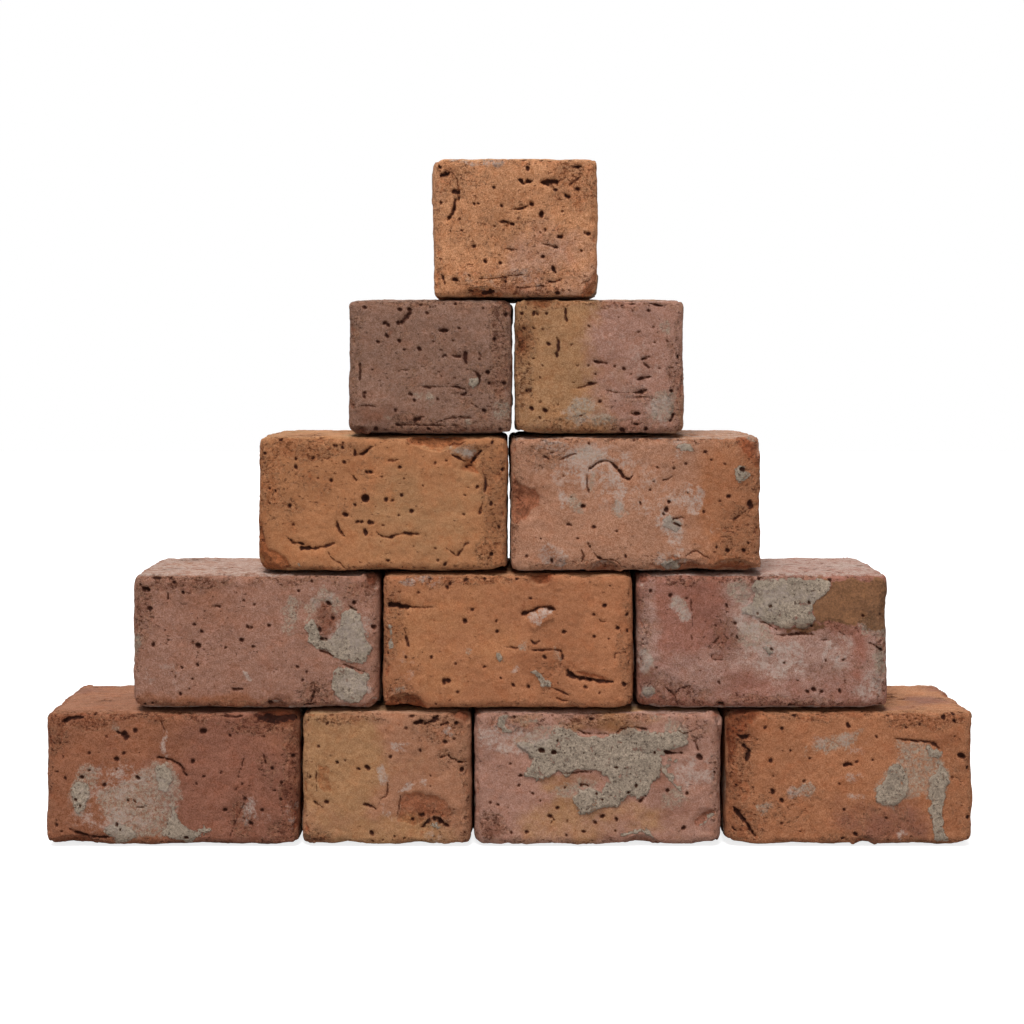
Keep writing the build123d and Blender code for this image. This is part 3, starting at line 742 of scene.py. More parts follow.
            (90, 55, 1.3), (6, 77, 1.2), (17, 86, 2.0), (20, 85, 1.8), (17, 72, 1.8),
            (13, 65, 1.5), (122, 53, 1.1), (14, 54, 0.9), (68, 64, 1.0), (10, 101, 1.5),
        ],
        cuts=[
            (3.4, 2.2, [(4, 97), (7, 99), (11, 100), (13, 102)]),
            (1.6, 1.0, [(14, 102), (18, 98), (20, 92), (20, 86), (21, 79)]),
            (2.2, 1.6, [(18.5, 80), (17, 74), (16, 69), (12, 63)]),
            (3.4, 2.2, [(70, 95), (73, 92), (76, 94), (80, 94.5)]),
            (3.8, 2.4, [(86, 93.5), (92, 93), (100, 93.5)]),
            (1.2, 0.8, [(100, 94), (107, 97)]),
            (2.4, 1.6, [(65, 72), (71, 72.5), (77, 75)]),
            (3.0, 2.0, [(54, 62), (58, 61.5), (64, 60)]),
            (1.9, 1.3, [(83, 46), (88, 44.5), (94, 42.5), (100, 41)]),
            (2.8, 2.0, [(96, 26), (97, 23), (99, 20)]),
            (2.6, 1.8, [(7, 18), (9, 14), (10, 9.5)]),
            (2.6, 1.8, [(40, 5), (44, 4.5), (49, 6)]),
            (1.8, 1.2, [(28, 5.5), (33, 5.5)]),
            (1.2, 0.9, [(37, 16), (50, 16), (61, 18), (73, 19)]),
            (1.1, 0.8, [(60, 9), (75, 8.5), (90, 10)]),
            (1.4, 0.9, [(92, 14), (98, 13), (104, 16)]),
            (2.0, 1.4, [(108, 105), (114, 105.5), (120, 106)]),
            (1.2, 0.8, [(102, 110), (109, 106)]),
            (1.1, 0.8, [(109, 90), (113, 94), (119, 98)]),
            (1.1, 0.8, [(55, 41), (60, 40), (66, 39)]),
        ],
        scars=[(1.0, [(117, -2), (120, 9), (126, 17), (134, 24), (134, -2)])],
        tints=[("crumbly", 60, 60, 64, 44, 0.5), ("crumbly", 20, 96, 26, 22, 0.7),
               ("crumbly", 114, 92, 24, 26, 0.9), ("crumbly", 66, 11, 66, 14, 0.9),
               ("crumbly", 66, 110, 70, 5, 0.7), ("crumbly", 5, 50, 7, 60, 0.6),
               ("second", 100, 18, 60, 40, 0.5), ("bloom", 60, 16, 50, 10, 0.3),
               ("crumbly", 40, 30, 30, 20, 0.4), ("crumbly", 70, 55, 50, 10, 0.6),
               ("bloom", 32, 110, 26, 4, 0.6), ("scorch_and_shade", 50, 4, 50, 5, 0.5),
               ("scorch_and_shade", 12, 98, 8, 6, 0.35)],
    ),
}


# ---------------------------------------------------------------------------------------
# Settings that a user would change
# ---------------------------------------------------------------------------------------


def colour(name, description, default):
    """A colour setting."""
    return FloatVectorProperty(
        name=name, description=description, default=default, subtype="COLOR", size=3, min=0, max=1
    )


def length(name, description, default):
    """A length setting, in metres."""
    return FloatProperty(
        name=name, description=description, default=default, unit="LENGTH", precision=5
    )


class ReliefSettings(PropertyGroup):
    """Sizes of the bricks' grid and of their wear."""

    pitch: length("Grid pitch", "Spacing of the grid on the sides, beds and back", 0.0023)
    front_strip: length("Fine strip", "How far back the finer front grid reaches", 0.006)
    core_inset: length("Core inset", "How deep below the faces the sculpting starts", 0.016)
    sag: length("Undulation", "How far a face wanders from flat", 0.0011)
    dents: length("Dents", "Depth of the dents and bumps of a thumb's width", 0.0006)
    grit: length("Grit", "Height of the coarse grit on a face", 0.00024)
    crumble: length("Crumble", "How deep the arrises have crumbled", 0.0015)
    joint: length("Joint", "How far the beds fall away near the faces", 0.0009)
    arris: length("Arris", "Rounding that counts as sound edge, not as a chip", 0.0076)


class ColourSettings(PropertyGroup):
    """Colours of the clays and of what is on them."""

    red_brown: colour("Red brown clay", "Hard fired red clay", fired(134, 86, 62))
    dark_rose: colour("Dark rose clay", "Dull, dark rose clay", fired(129, 84, 66))
    orange: colour("Orange clay", "Orange clay", fired(154, 101, 70))
    tan_orange: colour("Tan clay", "Lighter, sandy orange clay", fired(160, 108, 73))
    sand: colour("Sand clay", "Pale, sandy orange clay", fired(182, 126, 88))
    ochre: colour("Ochre clay", "Yellowish clay", fired(153, 112, 78))
    salmon: colour("Salmon clay", "Pinkish orange clay", fired(152, 106, 80))
    blush: colour("Blush clay", "Pale pinkish orange clay", fired(157, 112, 87))
    rose: colour("Rose clay", "Pale pink clay", fired(151, 111, 94))
    dusty: colour("Dusty clay", "Dull rose clay", fired(142, 102, 84))
    plum: colour("Plum clay", "Brown clay, burnt a little grey", fired(130, 97, 80))
    pink_tan: colour("Pink tan clay", "Pale pinkish tan clay", fired(168, 124, 100))
    dusty_red: colour("Dusty red clay", "Dull pinkish red clay", fired(141, 95, 79))
    pale_rose: colour("Pale rose clay", "Pale, greyish pink clay", fired(152, 117, 102))
    crumbs: colour("Crumbs", "The grains of crumbling edges", fired(178, 132, 99))
    mortar: colour("Mortar", "Old lime and sand mortar", fired(158, 141, 124))
    lime: colour("Lime film", "White bloom and lime dust", fired(172, 154, 143))
    soil: colour("Soil film", "Brown earth dried on the face", fired(123, 87, 60))
    # Painted shade: the dark colour that fills the bottom of pits and cracks
    hollow: colour("Hollow", "The bottom of pits and cracks", fired(56, 28, 18))
    floor: colour("Floor", "The stage floor", (0.45, 0.45, 0.45))


class StageSettings(PropertyGroup):
    """Camera and light."""

    camera_distance: length("Camera distance", "From the stack's front to the camera", 1.58)
    camera_height: length("Camera height", "Height of the level camera", 0.3994)
    camera_aside: length("Camera aside", "How far right of the middle it stands", 0.002)
    lens: FloatProperty(name="Lens", description="Focal length in mm", default=69.16)
    drop: FloatProperty(name="Drop", description="Vertical lens shift", default=-0.158)
    sky: FloatProperty(name="Sky light", description="Even light all round", default=0.24)
    key: FloatProperty(name="Top light", description="Soft light from above", default=3.0)
    front: FloatProperty(name="Front light", description="Soft light at the front", default=0.3)
    back: FloatProperty(name="Back light", description="Soft light at the back", default=0.9)
    glow: FloatProperty(name="Floor glow", description="Whiteness of the floor", default=0.8)


# ---------------------------------------------------------------------------------------
# Measures on the faces
# ---------------------------------------------------------------------------------------


def ramp(low, high, values):
    """0 below low and 1 above high, with a smooth rise between. low may be the larger."""
    share = np.clip((values - low) / (high - low), 0, 1)
    return share * share * (3 - 2 * share)


def lumps(points, size, seed, octaves=3):
    """Noise of about -1 to 1 at each point, with lumps about size across, in metres."""
    shift = Vector((seed * 1.37, seed * 2.71, seed * 0.73))
    return np.array([noise.fractal(Vector(point) / size + shift, 0.9, 2.0, octaves)
                     for point in points])


def round_corners(points, closed, passes=2):
    """Cuts the corners of an outline or path twice over, so that it runs smoothly."""
    points = np.array(points, float)
    for _ in range(passes):
        following = np.roll(points, -1, axis=0) if closed else points[1:]
        leading = points if closed else points[:-1]
        cut = np.empty((2 * len(leading), 2))
        cut[0::2] = 0.75 * leading + 0.25 * following
        cut[1::2] = 0.25 * leading + 0.75 * following
        points = cut if closed else np.vstack([points[:1], cut, points[-1:]])
    return points


def to_segments(spots, starts, ends):
    """Each spot's distance to each segment, and how far along the segment the nearest is."""
    run = ends - starts
    offset = spots[:, None, :] - starts[None, :, :]
    along = np.clip((offset * run).sum(-1) / np.maximum((run * run).sum(-1), 1e-9), 0, 1)
    return np.linalg.norm(offset - along[..., None] * run, axis=-1), along


def inside_outline(spots, outline):
    """How far each spot is inside an outline, in mm. Outside it is less than 0."""
    points = round_corners(outline, closed=True)
    ends = np.roll(points, -1, axis=0)
    distance = to_segments(spots, points, ends)[0].min(axis=1)
    x, y = spots[:, 0:1], spots[:, 1:2]
    spans = (points[:, 1] > y) != (ends[:, 1] > y)
    rise = np.where(ends[:, 1] == points[:, 1], 1e-9, ends[:, 1] - points[:, 1])
    crossing = points[:, 0] + (y - points[:, 1]) * (ends[:, 0] - points[:, 0]) / rise
    odd = (spans & (x < crossing)).sum(axis=1) % 2 == 1
    return np.where(odd, distance, -distance)


def inside_path(spots, path, width):
    """How far each spot is inside a cut that tapers to its ends, in mm."""
    points = round_corners(path, closed=False)
    distance, along = to_segments(spots, points[:-1], points[1:])
    nearest = distance.argmin(axis=1)
    row = np.arange(len(spots))
    share = (nearest + along[row, nearest]) / (len(points) - 1)
    half_width = width / 2 * (0.35 + 0.65 * np.sin(math.pi * share) ** 0.6)
    return half_width - distance[row, nearest]


# ---------------------------------------------------------------------------------------
# The brick's mesh
# ---------------------------------------------------------------------------------------


def grid_block(low, high, relief):
    """A block cut into an even grid, with one twice as fine at the front."""
    block = bmesh.new()
    bmesh.ops.create_cube(block, size=1)
    bmesh.ops.scale(block, vec=high - low, verts=block.verts)
    bmesh.ops.translate(block, vec=(low + high) / 2, verts=block.verts)
    for axis in range(3):
        along = [edge for edge in block.edges
                 if abs(edge.verts[0].co[axis] - edge.verts[1].co[axis]) > MM]
        cuts = round((high - low)[axis] / relief.pitch) - 1
        bmesh.ops.subdivide_edges(block, edges=along, cuts=cuts, use_grid_fill=True)
    reach = low.y + relief.front_strip
    front = [edge for edge in block.edges if all(vert.co.y < reach for vert in edge.verts)]
    bmesh.ops.subdivide_edges(block, edges=front, cuts=1, use_grid_fill=True)
    return block


def wrap_on_solid(block, node, low, high, inset):
    """Moves the block's vertices on to the solid, along lines out of a smaller core."""
    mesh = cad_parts[node].data
    solid = BVHTree.FromPolygons([vert.co for vert in mesh.vertices],
                                 [face.vertices for face in mesh.polygons])
    for vert in block.verts:
        core = Vector([min(max(value, least + inset), most - inset)
                       for value, least, most in zip(vert.co, low, high)])
        hit = solid.ray_cast(core, (vert.co - core).normalized())[0]
        if hit is None:
            raise RuntimeError(f"{node}: a ray from the core misses the solid")
        vert.co = hit
    block.normal_update()


class Wear:
    """The wear of one brick, worked out for all its vertices at once.

    deep holds how far each vertex goes in and rise how far it goes up, both in mm, and marks
    the measures that the material reads. crust, smear and pit are distances in mm inside such
    a place, scar is the depth of a break in mm, and second, bloom, scorch, soil, crumbly, edge
    and bed are shares.
    """

    FAR = -6.0
    PLACES = ("crust", "smear", "scar", "pit")
    SHARES = ("second", "bloom", "scorch_and_shade", "soil", "crumbly", "edge", "bed")

    def __init__(self, brick, points, normals, low, high, relief):
        self.brick, self.points, self.normals, self.relief = brick, points, normals, relief
        self.low, self.high = np.array(low), np.array(high)
        self.random = np.random.default_rng(brick.seed)
        self.deep = np.zeros(len(points))
        self.rise = np.zeros(len(points))
        self.marks = {name: np.full(len(points), self.FAR) for name in self.PLACES}
        self.marks.update({name: np.zeros(len(points)) for name in self.SHARES})
        self.back = (points[:, 1] - self.low[1]) / MM
        self.front = ramp(10, 6, self.back)
        across, up = (points[:, 0] - self.low[0]) / MM, (points[:, 2] - self.low[2]) / MM
        self.spots = np.column_stack([across, up])
        self.near = np.flatnonzero(self.front > 0)
        self.gaps = np.minimum(points - self.low, self.high - points) / MM
        self.edge_gap = np.sort(self.gaps, axis=1)[:, 1]

    def noise(self, size_mm, kind, octaves=3):
        """Noise over the whole brick, the same each run."""
        return lumps(self.points, size_mm * MM, self.brick.seed + 40 * kind, octaves)

    def wandering_spots(self, reach, size_mm, kind):
        """Front spots moved about a little, so that outlines come out ragged."""
        near = self.points[self.near]
        shifts = [lumps(near, size_mm * MM, self.brick.seed + 40 * (kind + step))
                  for step in (0, 1)]
        return self.spots[self.near] + reach * np.column_stack(shifts)

    def keep_larger(self, name, values):
        """Keeps the larger of the mark and the new values at every vertex."""
        self.marks[name] = np.maximum(self.marks[name], values)

    def raise_mark(self, name, values):
        """Keeps the larger of the mark and the new values at the front's vertices."""
        mark = self.marks[name]
        fallen = self.FAR + (values - self.FAR) * self.front[self.near]
        mark[self.near] = np.maximum(mark[self.near], fallen)

    def press(self, amounts):
        """Pushes the front's vertices in by so many mm."""
        self.deep[self.near] += self.front[self.near] * amounts

    def face_shape(self):
        """Undulation, dents, faint folds and grit. The beds only ever go in."""
        relief = self.relief
        self.marks["bed"] = ramp(0.55, 0.9, np.abs(self.normals[:, 2]))
        self.marks["edge"] = ramp(13, 2, self.edge_gap)
        bed = self.marks["bed"]
        wall = 1 - bed
        slow = self.noise(50, 1)
        wander = (slow * relief.sag + self.noise(15, 2) * relief.dents) / MM
        self.deep += bed * np.abs(wander) - wall * wander
        fall = bed * ramp(24, 7, self.gaps[:, :2].min(axis=1))
        self.deep += fall * relief.joint / MM * (1 + slow)
        crown = ramp(0.5, 0.95, np.abs(self.normals[:, 0])) * ramp(20, 60, self.back)
        self.deep -= crown * self.brick.crown
        folds = ramp(0.10, 0, np.abs(self.noise(34, 3, 4))) * ramp(0.0, 0.3, self.noise(30, 4))
        self.deep += folds * 0.35
        coarse = self.noise(6.5, 5, 2) + self.noise(3, 6, 2)
        self.deep += relief.grit / MM * (coarse + bed)

    def rubbed_corners(self):
        """Arrises and corners rubbed rounder than the solid's, and feet that have worn up."""
        ends = 0.65 + 0.35 * ramp(60, 15, self.gaps[:, 1])
        reach = (8.0 + 3.0 * self.noise(45, 22, 2)) * ends
        inward = np.maximum(reach[:, None] - self.gaps, 0)
        self.deep += np.maximum(np.linalg.norm(inward, axis=1) - reach, 0)
        foot = ramp(16, 0, self.spots[:, 1]) * ramp(40, 14, self.back)
        for across, reach_across, height in self.brick.lifts:
            beside = np.abs(self.spots[:, 0] - across) / reach_across
            self.rise += height * ramp(1, 0, beside) * foot

    def crumbled_edges(self):
        """Arrises that have crumbled away in patches."""
        ragged = self.noise(13, 7, 4) + 0.5 * self.noise(4.5, 8)
        lost = ramp(9, 1.5, self.edge_gap) * np.clip(ragged + 0.02, 0, 1.2)
        self.deep += lost * self.relief.crumble / MM
        self.keep_larger("scar", 2.6 * lost - 0.9)

    def chips(self):
        """Marks the solid's own chips as broken clay, roughens them and softens the deepest."""
        middle, half = (self.low + self.high) / 2, (self.high - self.low) / 2
        outside = np.abs(self.points - middle) - (half - self.relief.arris)
        rounded = np.linalg.norm(np.maximum(outside, 0), axis=1) - self.relief.arris
        lost = -rounded / MM - 1.7 + 2.4 * self.noise(11, 9, 4)
        lost = np.where(self.marks["bed"] * (self.edge_gap > 12) > 0.5, self.FAR, lost)
        self.keep_larger("scar", np.minimum(lost * 0.6, 1.8))
        facets = np.abs(self.noise(11, 10, 3))
        self.deep += ramp(-0.5, 1.5, lost) * (2.0 * facets - 0.4)
        softer = np.clip(0.62 + 0.7 * self.noise(12, 23, 3), 0.1, 1.0)
        self.deep -= softer * np.maximum(-rounded / MM - 0.6, 0)

    def front_places(self):
        """Old mortar, spalls, cuts and pits of the front face."""
        ragged = self.wandering_spots(2.4, 9, 11)
        steady = self.wandering_spots(0.7, 4, 13)
        near = self.points[self.near]
        grain = lumps(near, 3 * MM, self.brick.seed + 480, 2)
        swell = lumps(near, 11 * MM, self.brick.seed + 520, 2)
        for thickness, outline in self.brick.crusts:
            inside = inside_outline(ragged, outline)
            self.raise_mark("crust", inside)
            self.press(-ramp(-0.3, 1.0, inside) * thickness * (1 + 0.5 * grain + 0.4 * swell))
        for outline in self.brick.smears:
            self.raise_mark("smear", inside_outline(ragged, outline))
        for depth, outline in self.brick.scars:
            inside = inside_outline(ragged, outline)
            self.raise_mark("scar", np.minimum(inside, depth))
            self.press(ramp(-0.6, 1.8, inside) * depth * (0.8 + 0.7 * np.abs(grain)))
        for width, depth, path in self.brick.cuts:
            inside = inside_path(steady, path, width) + width * (0.35 * grain + 0.5 * swell)
            self.raise_mark("pit", inside)
            self.press(ramp(-0.5, 0.45 * width, inside) * depth)
            self.press(ramp(-5.5, 0, inside) * 0.22 * depth)
        for across, up, radius in self.brick.pits:
            self.dig_pit(steady, across, up, radius)

    def dig_pit(self, spots, across, up, radius):
        """One pit of the front face, a little longer one way than the other."""
        turn = self.random.uniform(0, math.pi)
        longer = self.random.uniform(1.0, 1.35)
        offset = spots - (across, up)
        along = offset[:, 0] * math.cos(turn) + offset[:, 1] * math.sin(turn)
        aside = offset[:, 1] * math.cos(turn) - offset[:, 0] * math.sin(turn)
        inside = radius - np.hypot(along / longer, aside * longer ** 0.5)
        self.raise_mark("pit", inside)
        self.press(ramp(-0.5, 0.8 * radius, inside) * radius)

    def front_tints(self):
        """Soft patches of other colours on the front face, some of them painted shade. Soil lies
        beside old mortar.
        """
        ragged = self.wandering_spots(6.0, 20, 15)
        for kind, across, up, reach_across, reach_up, strength in self.brick.tints:
            offset = (ragged - (across, up)) / (reach_across, reach_up)
            share = strength * ramp(1.4, 0.45, np.linalg.norm(offset, axis=1))
            mark = self.marks[kind]
            mark[self.near] = np.maximum(mark[self.near], share * self.front[self.near])
        self.marks["soil"] *= ramp(1.0, -0.5, self.marks["crust"])

    def other_sides(self):
        """Dust on the beds, and blotches, mortar and pits where the tables don't reach."""
        side = 1 - self.front
        walls = side * (1 - self.marks["bed"])
        self.keep_larger("second", side * ramp(-0.3, 0.9, self.noise(55, 17)))
        self.keep_larger("bloom", self.brick.dust * self.marks["bed"])
        left = (self.noise(42, 18) - 0.42) * 30
        left = np.where(walls > 0.9, np.clip(left, self.FAR, 3), self.FAR)
        self.keep_larger("crust", left)
        self.deep -= ramp(-0.2, 1.4, left) * 0.8
        film = (self.noise(36, 19) - 0.32) * 30
        film = np.where(walls > 0.9, np.clip(film, self.FAR, 5), self.FAR)
        self.keep_larger("smear", film)
        self.keep_larger("scorch_and_shade", walls * 0.5 * ramp(0.25, 0.7, self.noise(40, 20)))
        self.keep_larger("crumbly", side * ramp(0.15, 0.7, self.noise(28, 21)))
        behind = np.flatnonzero(self.back > BEHIND)
        for centre in self.random.choice(behind, PITS_BEHIND):
            radius = 0.9 + self.random.gamma(1.4, 0.45)
            stretch = np.ones(3)
            stretch[0] = 1 + 2.5 * self.marks["bed"][centre] * self.random.random()
            offset = (self.points - self.points[centre]) / MM / stretch
            inside = radius - np.linalg.norm(offset, axis=1)
            self.keep_larger("pit", inside)
            self.deep += ramp(-0.5, 0.8 * radius, inside) * 0.8 * radius


def model_brick(node, settings):
    """One weathered brick on its solid, with its measures on the mesh."""
    low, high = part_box(node)
    block = grid_block(low, high, settings.relief)
    wrap_on_solid(block, node, low, high, settings.relief.core_inset)
    points = np.array([vert.co for vert in block.verts])
    normals = np.array([vert.normal for vert in block.verts])
    wear = Wear(BRICKS[node], points, normals, low, high, settings.relief)
    for work in (wear.face_shape, wear.rubbed_corners, wear.crumbled_edges, wear.chips,
                 wear.front_places, wear.front_tints, wear.other_sides):
        work()
    moved = points - normals * (wear.deep * MM)[:, None]
    moved[:, 2] += wear.rise * MM
    for vert, place in zip(block.verts, moved):
        vert.co = place
    mesh = bpy.data.meshes.new(f"{node}_weathered")
    block.to_mesh(mesh)
    block.free()
    for name, values in wear.marks.items():
        attribute = mesh.attributes.new(name, "FLOAT", "POINT")
        attribute.data.foreach_set("value", values.astype(np.float32))
    mesh.shade_smooth()
    piece = bpy.data.objects.new(f"{node}_weathered", mesh)
    bpy.context.scene.collection.objects.link(piece)
    return piece


# ---------------------------------------------------------------------------------------
# Shader building
# ---------------------------------------------------------------------------------------


class Wiring:
    """Adds nodes to one node tree and links them."""

    def __init__(self, tree):
        self.tree = tree

    def feed(self, socket, value):
        """Links a socket, or sets it to a plain value."""
        if isinstance(value, bpy.types.NodeSocket):
            self.tree.links.new(value, socket)
        else:
            is_colour = socket.type == "RGBA" and len(value) == 3
            socket.default_value = (*value, 1) if is_colour else value

    def node(self, kind, inputs, **settings):
        """A node with its settings, and inputs by name or by place."""
        made = self.tree.nodes.new(kind)
        for name, value in settings.items():
            setattr(made, name, value)
        for name, value in inputs.items():
            self.feed(made.inputs[name], value)
        return made

    def math(self, operation, *values, clamp=False):
        """A sum, product or other reckoning of numbers."""
        inputs = dict(enumerate(values))
        return self.node("ShaderNodeMath", inputs, operation=operation, use_clamp=clamp).outputs[0]

    def mix(self, share, first, second, blend="MIX"):
        """Colour from first to second by share."""
        inputs = {0: share, 6: first, 7: second}
        made = self.node("ShaderNodeMix", inputs, data_type="RGBA", blend_type=blend)
        return made.outputs[2]

    def times(self, colour_in, tint):
        """A colour multiplied by a tint."""
        return self.mix(1.0, colour_in, tint, "MULTIPLY")

    def span(self, value, low, high, to_low=0.0, to_high=1.0, smooth=True):
        """Takes a value from one span to another, held at its ends."""
        inputs = {0: value, 1: low, 2: high, 3: to_low, 4: to_high}
        kind = "SMOOTHSTEP" if smooth else "LINEAR"
        return self.node("ShaderNodeMapRange", inputs, interpolation_type=kind).outputs[0]

    def place(self):
        """The point on the brick, in metres."""
        return self.node("ShaderNodeTexCoord", {}).outputs["Object"]

    def stretched(self, scale):
        """The point on the brick with each axis scaled."""
        inputs = {"Vector": self.place(), "Scale": scale}
        return self.node("ShaderNodeMapping", inputs).outputs["Vector"]

    def cloud(self, scale, detail=3.0, roughness=0.55, vector=None):
        """Noise from 0 to 1, with scale lumps to the metre."""
        inputs = {"Vector": vector or self.place(), "Scale": scale, "Detail": detail,
                  "Roughness": roughness}
        return self.node("ShaderNodeTexNoise", inputs).outputs[0]

    def grains(self, scale, vector):
        """Cells: the distance from the cell's middle, in cells, and a random number each."""
        cells = self.node("ShaderNodeTexVoronoi", {"Vector": vector, "Scale": scale})
        parts = self.node("ShaderNodeSeparateColor", {0: cells.outputs["Color"]})
        return cells.outputs["Distance"], parts.outputs[0]

    def tone(self, colour_in, value, low, high):
        """Brightens or darkens a colour by a factor that goes from low to high with value."""
        factor = self.span(value, 0.3, 0.7, low, high, smooth=False)
        grey = self.node("ShaderNodeCombineColor", {0: factor, 1: factor, 2: factor}).outputs[0]
        return self.times(colour_in, grey)

    def speckled(self, colour_in, value, low, high):
        """Turns a colour duller and darker towards low, and paler and dustier towards high."""
        dark = self.times(colour_in, (0.77, 0.70, 0.63))
        pale = self.times(colour_in, (1.23, 1.32, 1.45))
        return self.mix(self.span(value, low, high, smooth=False), dark, pale)

    def mark(self, name):
        """One of the measures kept on the mesh."""
        made = self.node("ShaderNodeAttribute", {}, attribute_name=name)
        return made.outputs["Fac"]


def shader_group(name, inputs, outputs, build):
    """A node group made once. build gets the wiring and the group's inputs by name."""
    if name in bpy.data.node_groups:
        return bpy.data.node_groups[name]
    tree = bpy.data.node_groups.new(name, "ShaderNodeTree")
    kinds = {"colour": "NodeSocketColor", "number": "NodeSocketFloat"}
    for title, kind in inputs.items():
        tree.interface.new_socket(title, in_out="INPUT", socket_type=kinds[kind])
    for title, kind in outputs.items():
        tree.interface.new_socket(title, in_out="OUTPUT", socket_type=kinds[kind])
    wiring = Wiring(tree)
    entry = tree.nodes.new("NodeGroupInput")
    results = build(wiring, {title: entry.outputs[title] for title in inputs})
    leave = tree.nodes.new("NodeGroupOutput")
    for title, value in results.items():
        wiring.feed(leave.inputs[title], value)
    return tree


COLOUR_AND_HEIGHT = {"Color": "colour", "Height": "number"}

# What a clay's red, green and blue are multiplied by
REDDER = (1.0, 0.88, 0.80)
FLECK = (1.45, 1.62, 1.84)
# Beds painted paler, partly as painted light from above on the top faces
PALER_BED_AND_TOP_LIGHT = (1.05, 1.19, 1.26)
CRUMBLED = (0.93, 0.79, 0.70)
LOOSE_GRAIN = (1.20, 1.24, 1.28)
# Dark specks, partly painted shade inside small pits and cavities
SPECK_AND_PIT_SHADE = (0.36, 0.23, 0.17)
BROKEN = (0.90, 0.68, 0.57)
# Pale crust rim, partly painted highlight on its raised edge
MORTAR_RIM_AND_HIGHLIGHT = (1.34, 1.36, 1.38)
# Darker patches, partly painted shade where the bricks above or crust edges shade the face
SCORCHED_AND_SHADED = (0.66, 0.54, 0.48)
# Painted shadow round the rim of each pit and cut
PIT_RIM_SHADOW = (0.44, 0.30, 0.23)


def clay_body(w, given):
    """Two clays in blotches, with mottling and sandy grain."""
    blotch = w.math("MULTIPLY_ADD", w.cloud(20, 5, 0.7), 2.0, -1.0)
    second = w.span(w.math("ADD", given["Second share"], blotch), 0.1, 0.9)
    clay = w.mix(second, given["Clay"], given["Second clay"])
    clay = w.tone(clay, w.cloud(26, 4, 0.6), 0.92, 1.08)
    redder = w.times(clay, REDDER)
    clay = w.mix(w.span(w.cloud(70, 5, 0.7), 0.46, 0.66, 0.0, 0.7), clay, redder)
    mottle = w.cloud(210, 5, 0.8)
    grain = w.cloud(1000, 2, 0.8)
    flecks = w.span(w.cloud(740, 2, 0.7), 0.60, 0.65, 0.0, 0.9)
    sandy = w.speckled(w.speckled(clay, mottle, 0.32, 0.68), grain, 0.43, 0.57)
    sandy = w.mix(flecks, sandy, w.times(clay, FLECK))
    height = w.math("MULTIPLY_ADD", mottle, 0.7, w.math("MULTIPLY", grain, 0.5))
    return {"Color": w.mix(given["Grain"], clay, sandy),
            "Height": w.math("MULTIPLY", height, given["Grain"])}


def bed_streaks(w, given):
    """The bed faces: smoother, streaked along the stack, and painted paler, partly as painted
    light from above on the top faces.
    """
    streak = w.cloud(1.0, 4, 0.6, w.stretched((34, 520, 520)))
    # Partly painted light: the beds are made paler to stand for light from above on the tops
    paler_bed = w.times(given["Color"], PALER_BED_AND_TOP_LIGHT)
    paler_bed = w.tone(paler_bed, streak, 0.76, 1.16)
    height = w.math("MULTIPLY_ADD", streak, 0.4, w.math("MULTIPLY", given["Height"], 0.75))
    share = given["Bed"]
    mixed = w.node("ShaderNodeMix", {0: share, 2: given["Height"], 3: height}).outputs[0]
    return {"Color": w.mix(share, given["Color"], paler_bed), "Height": mixed}


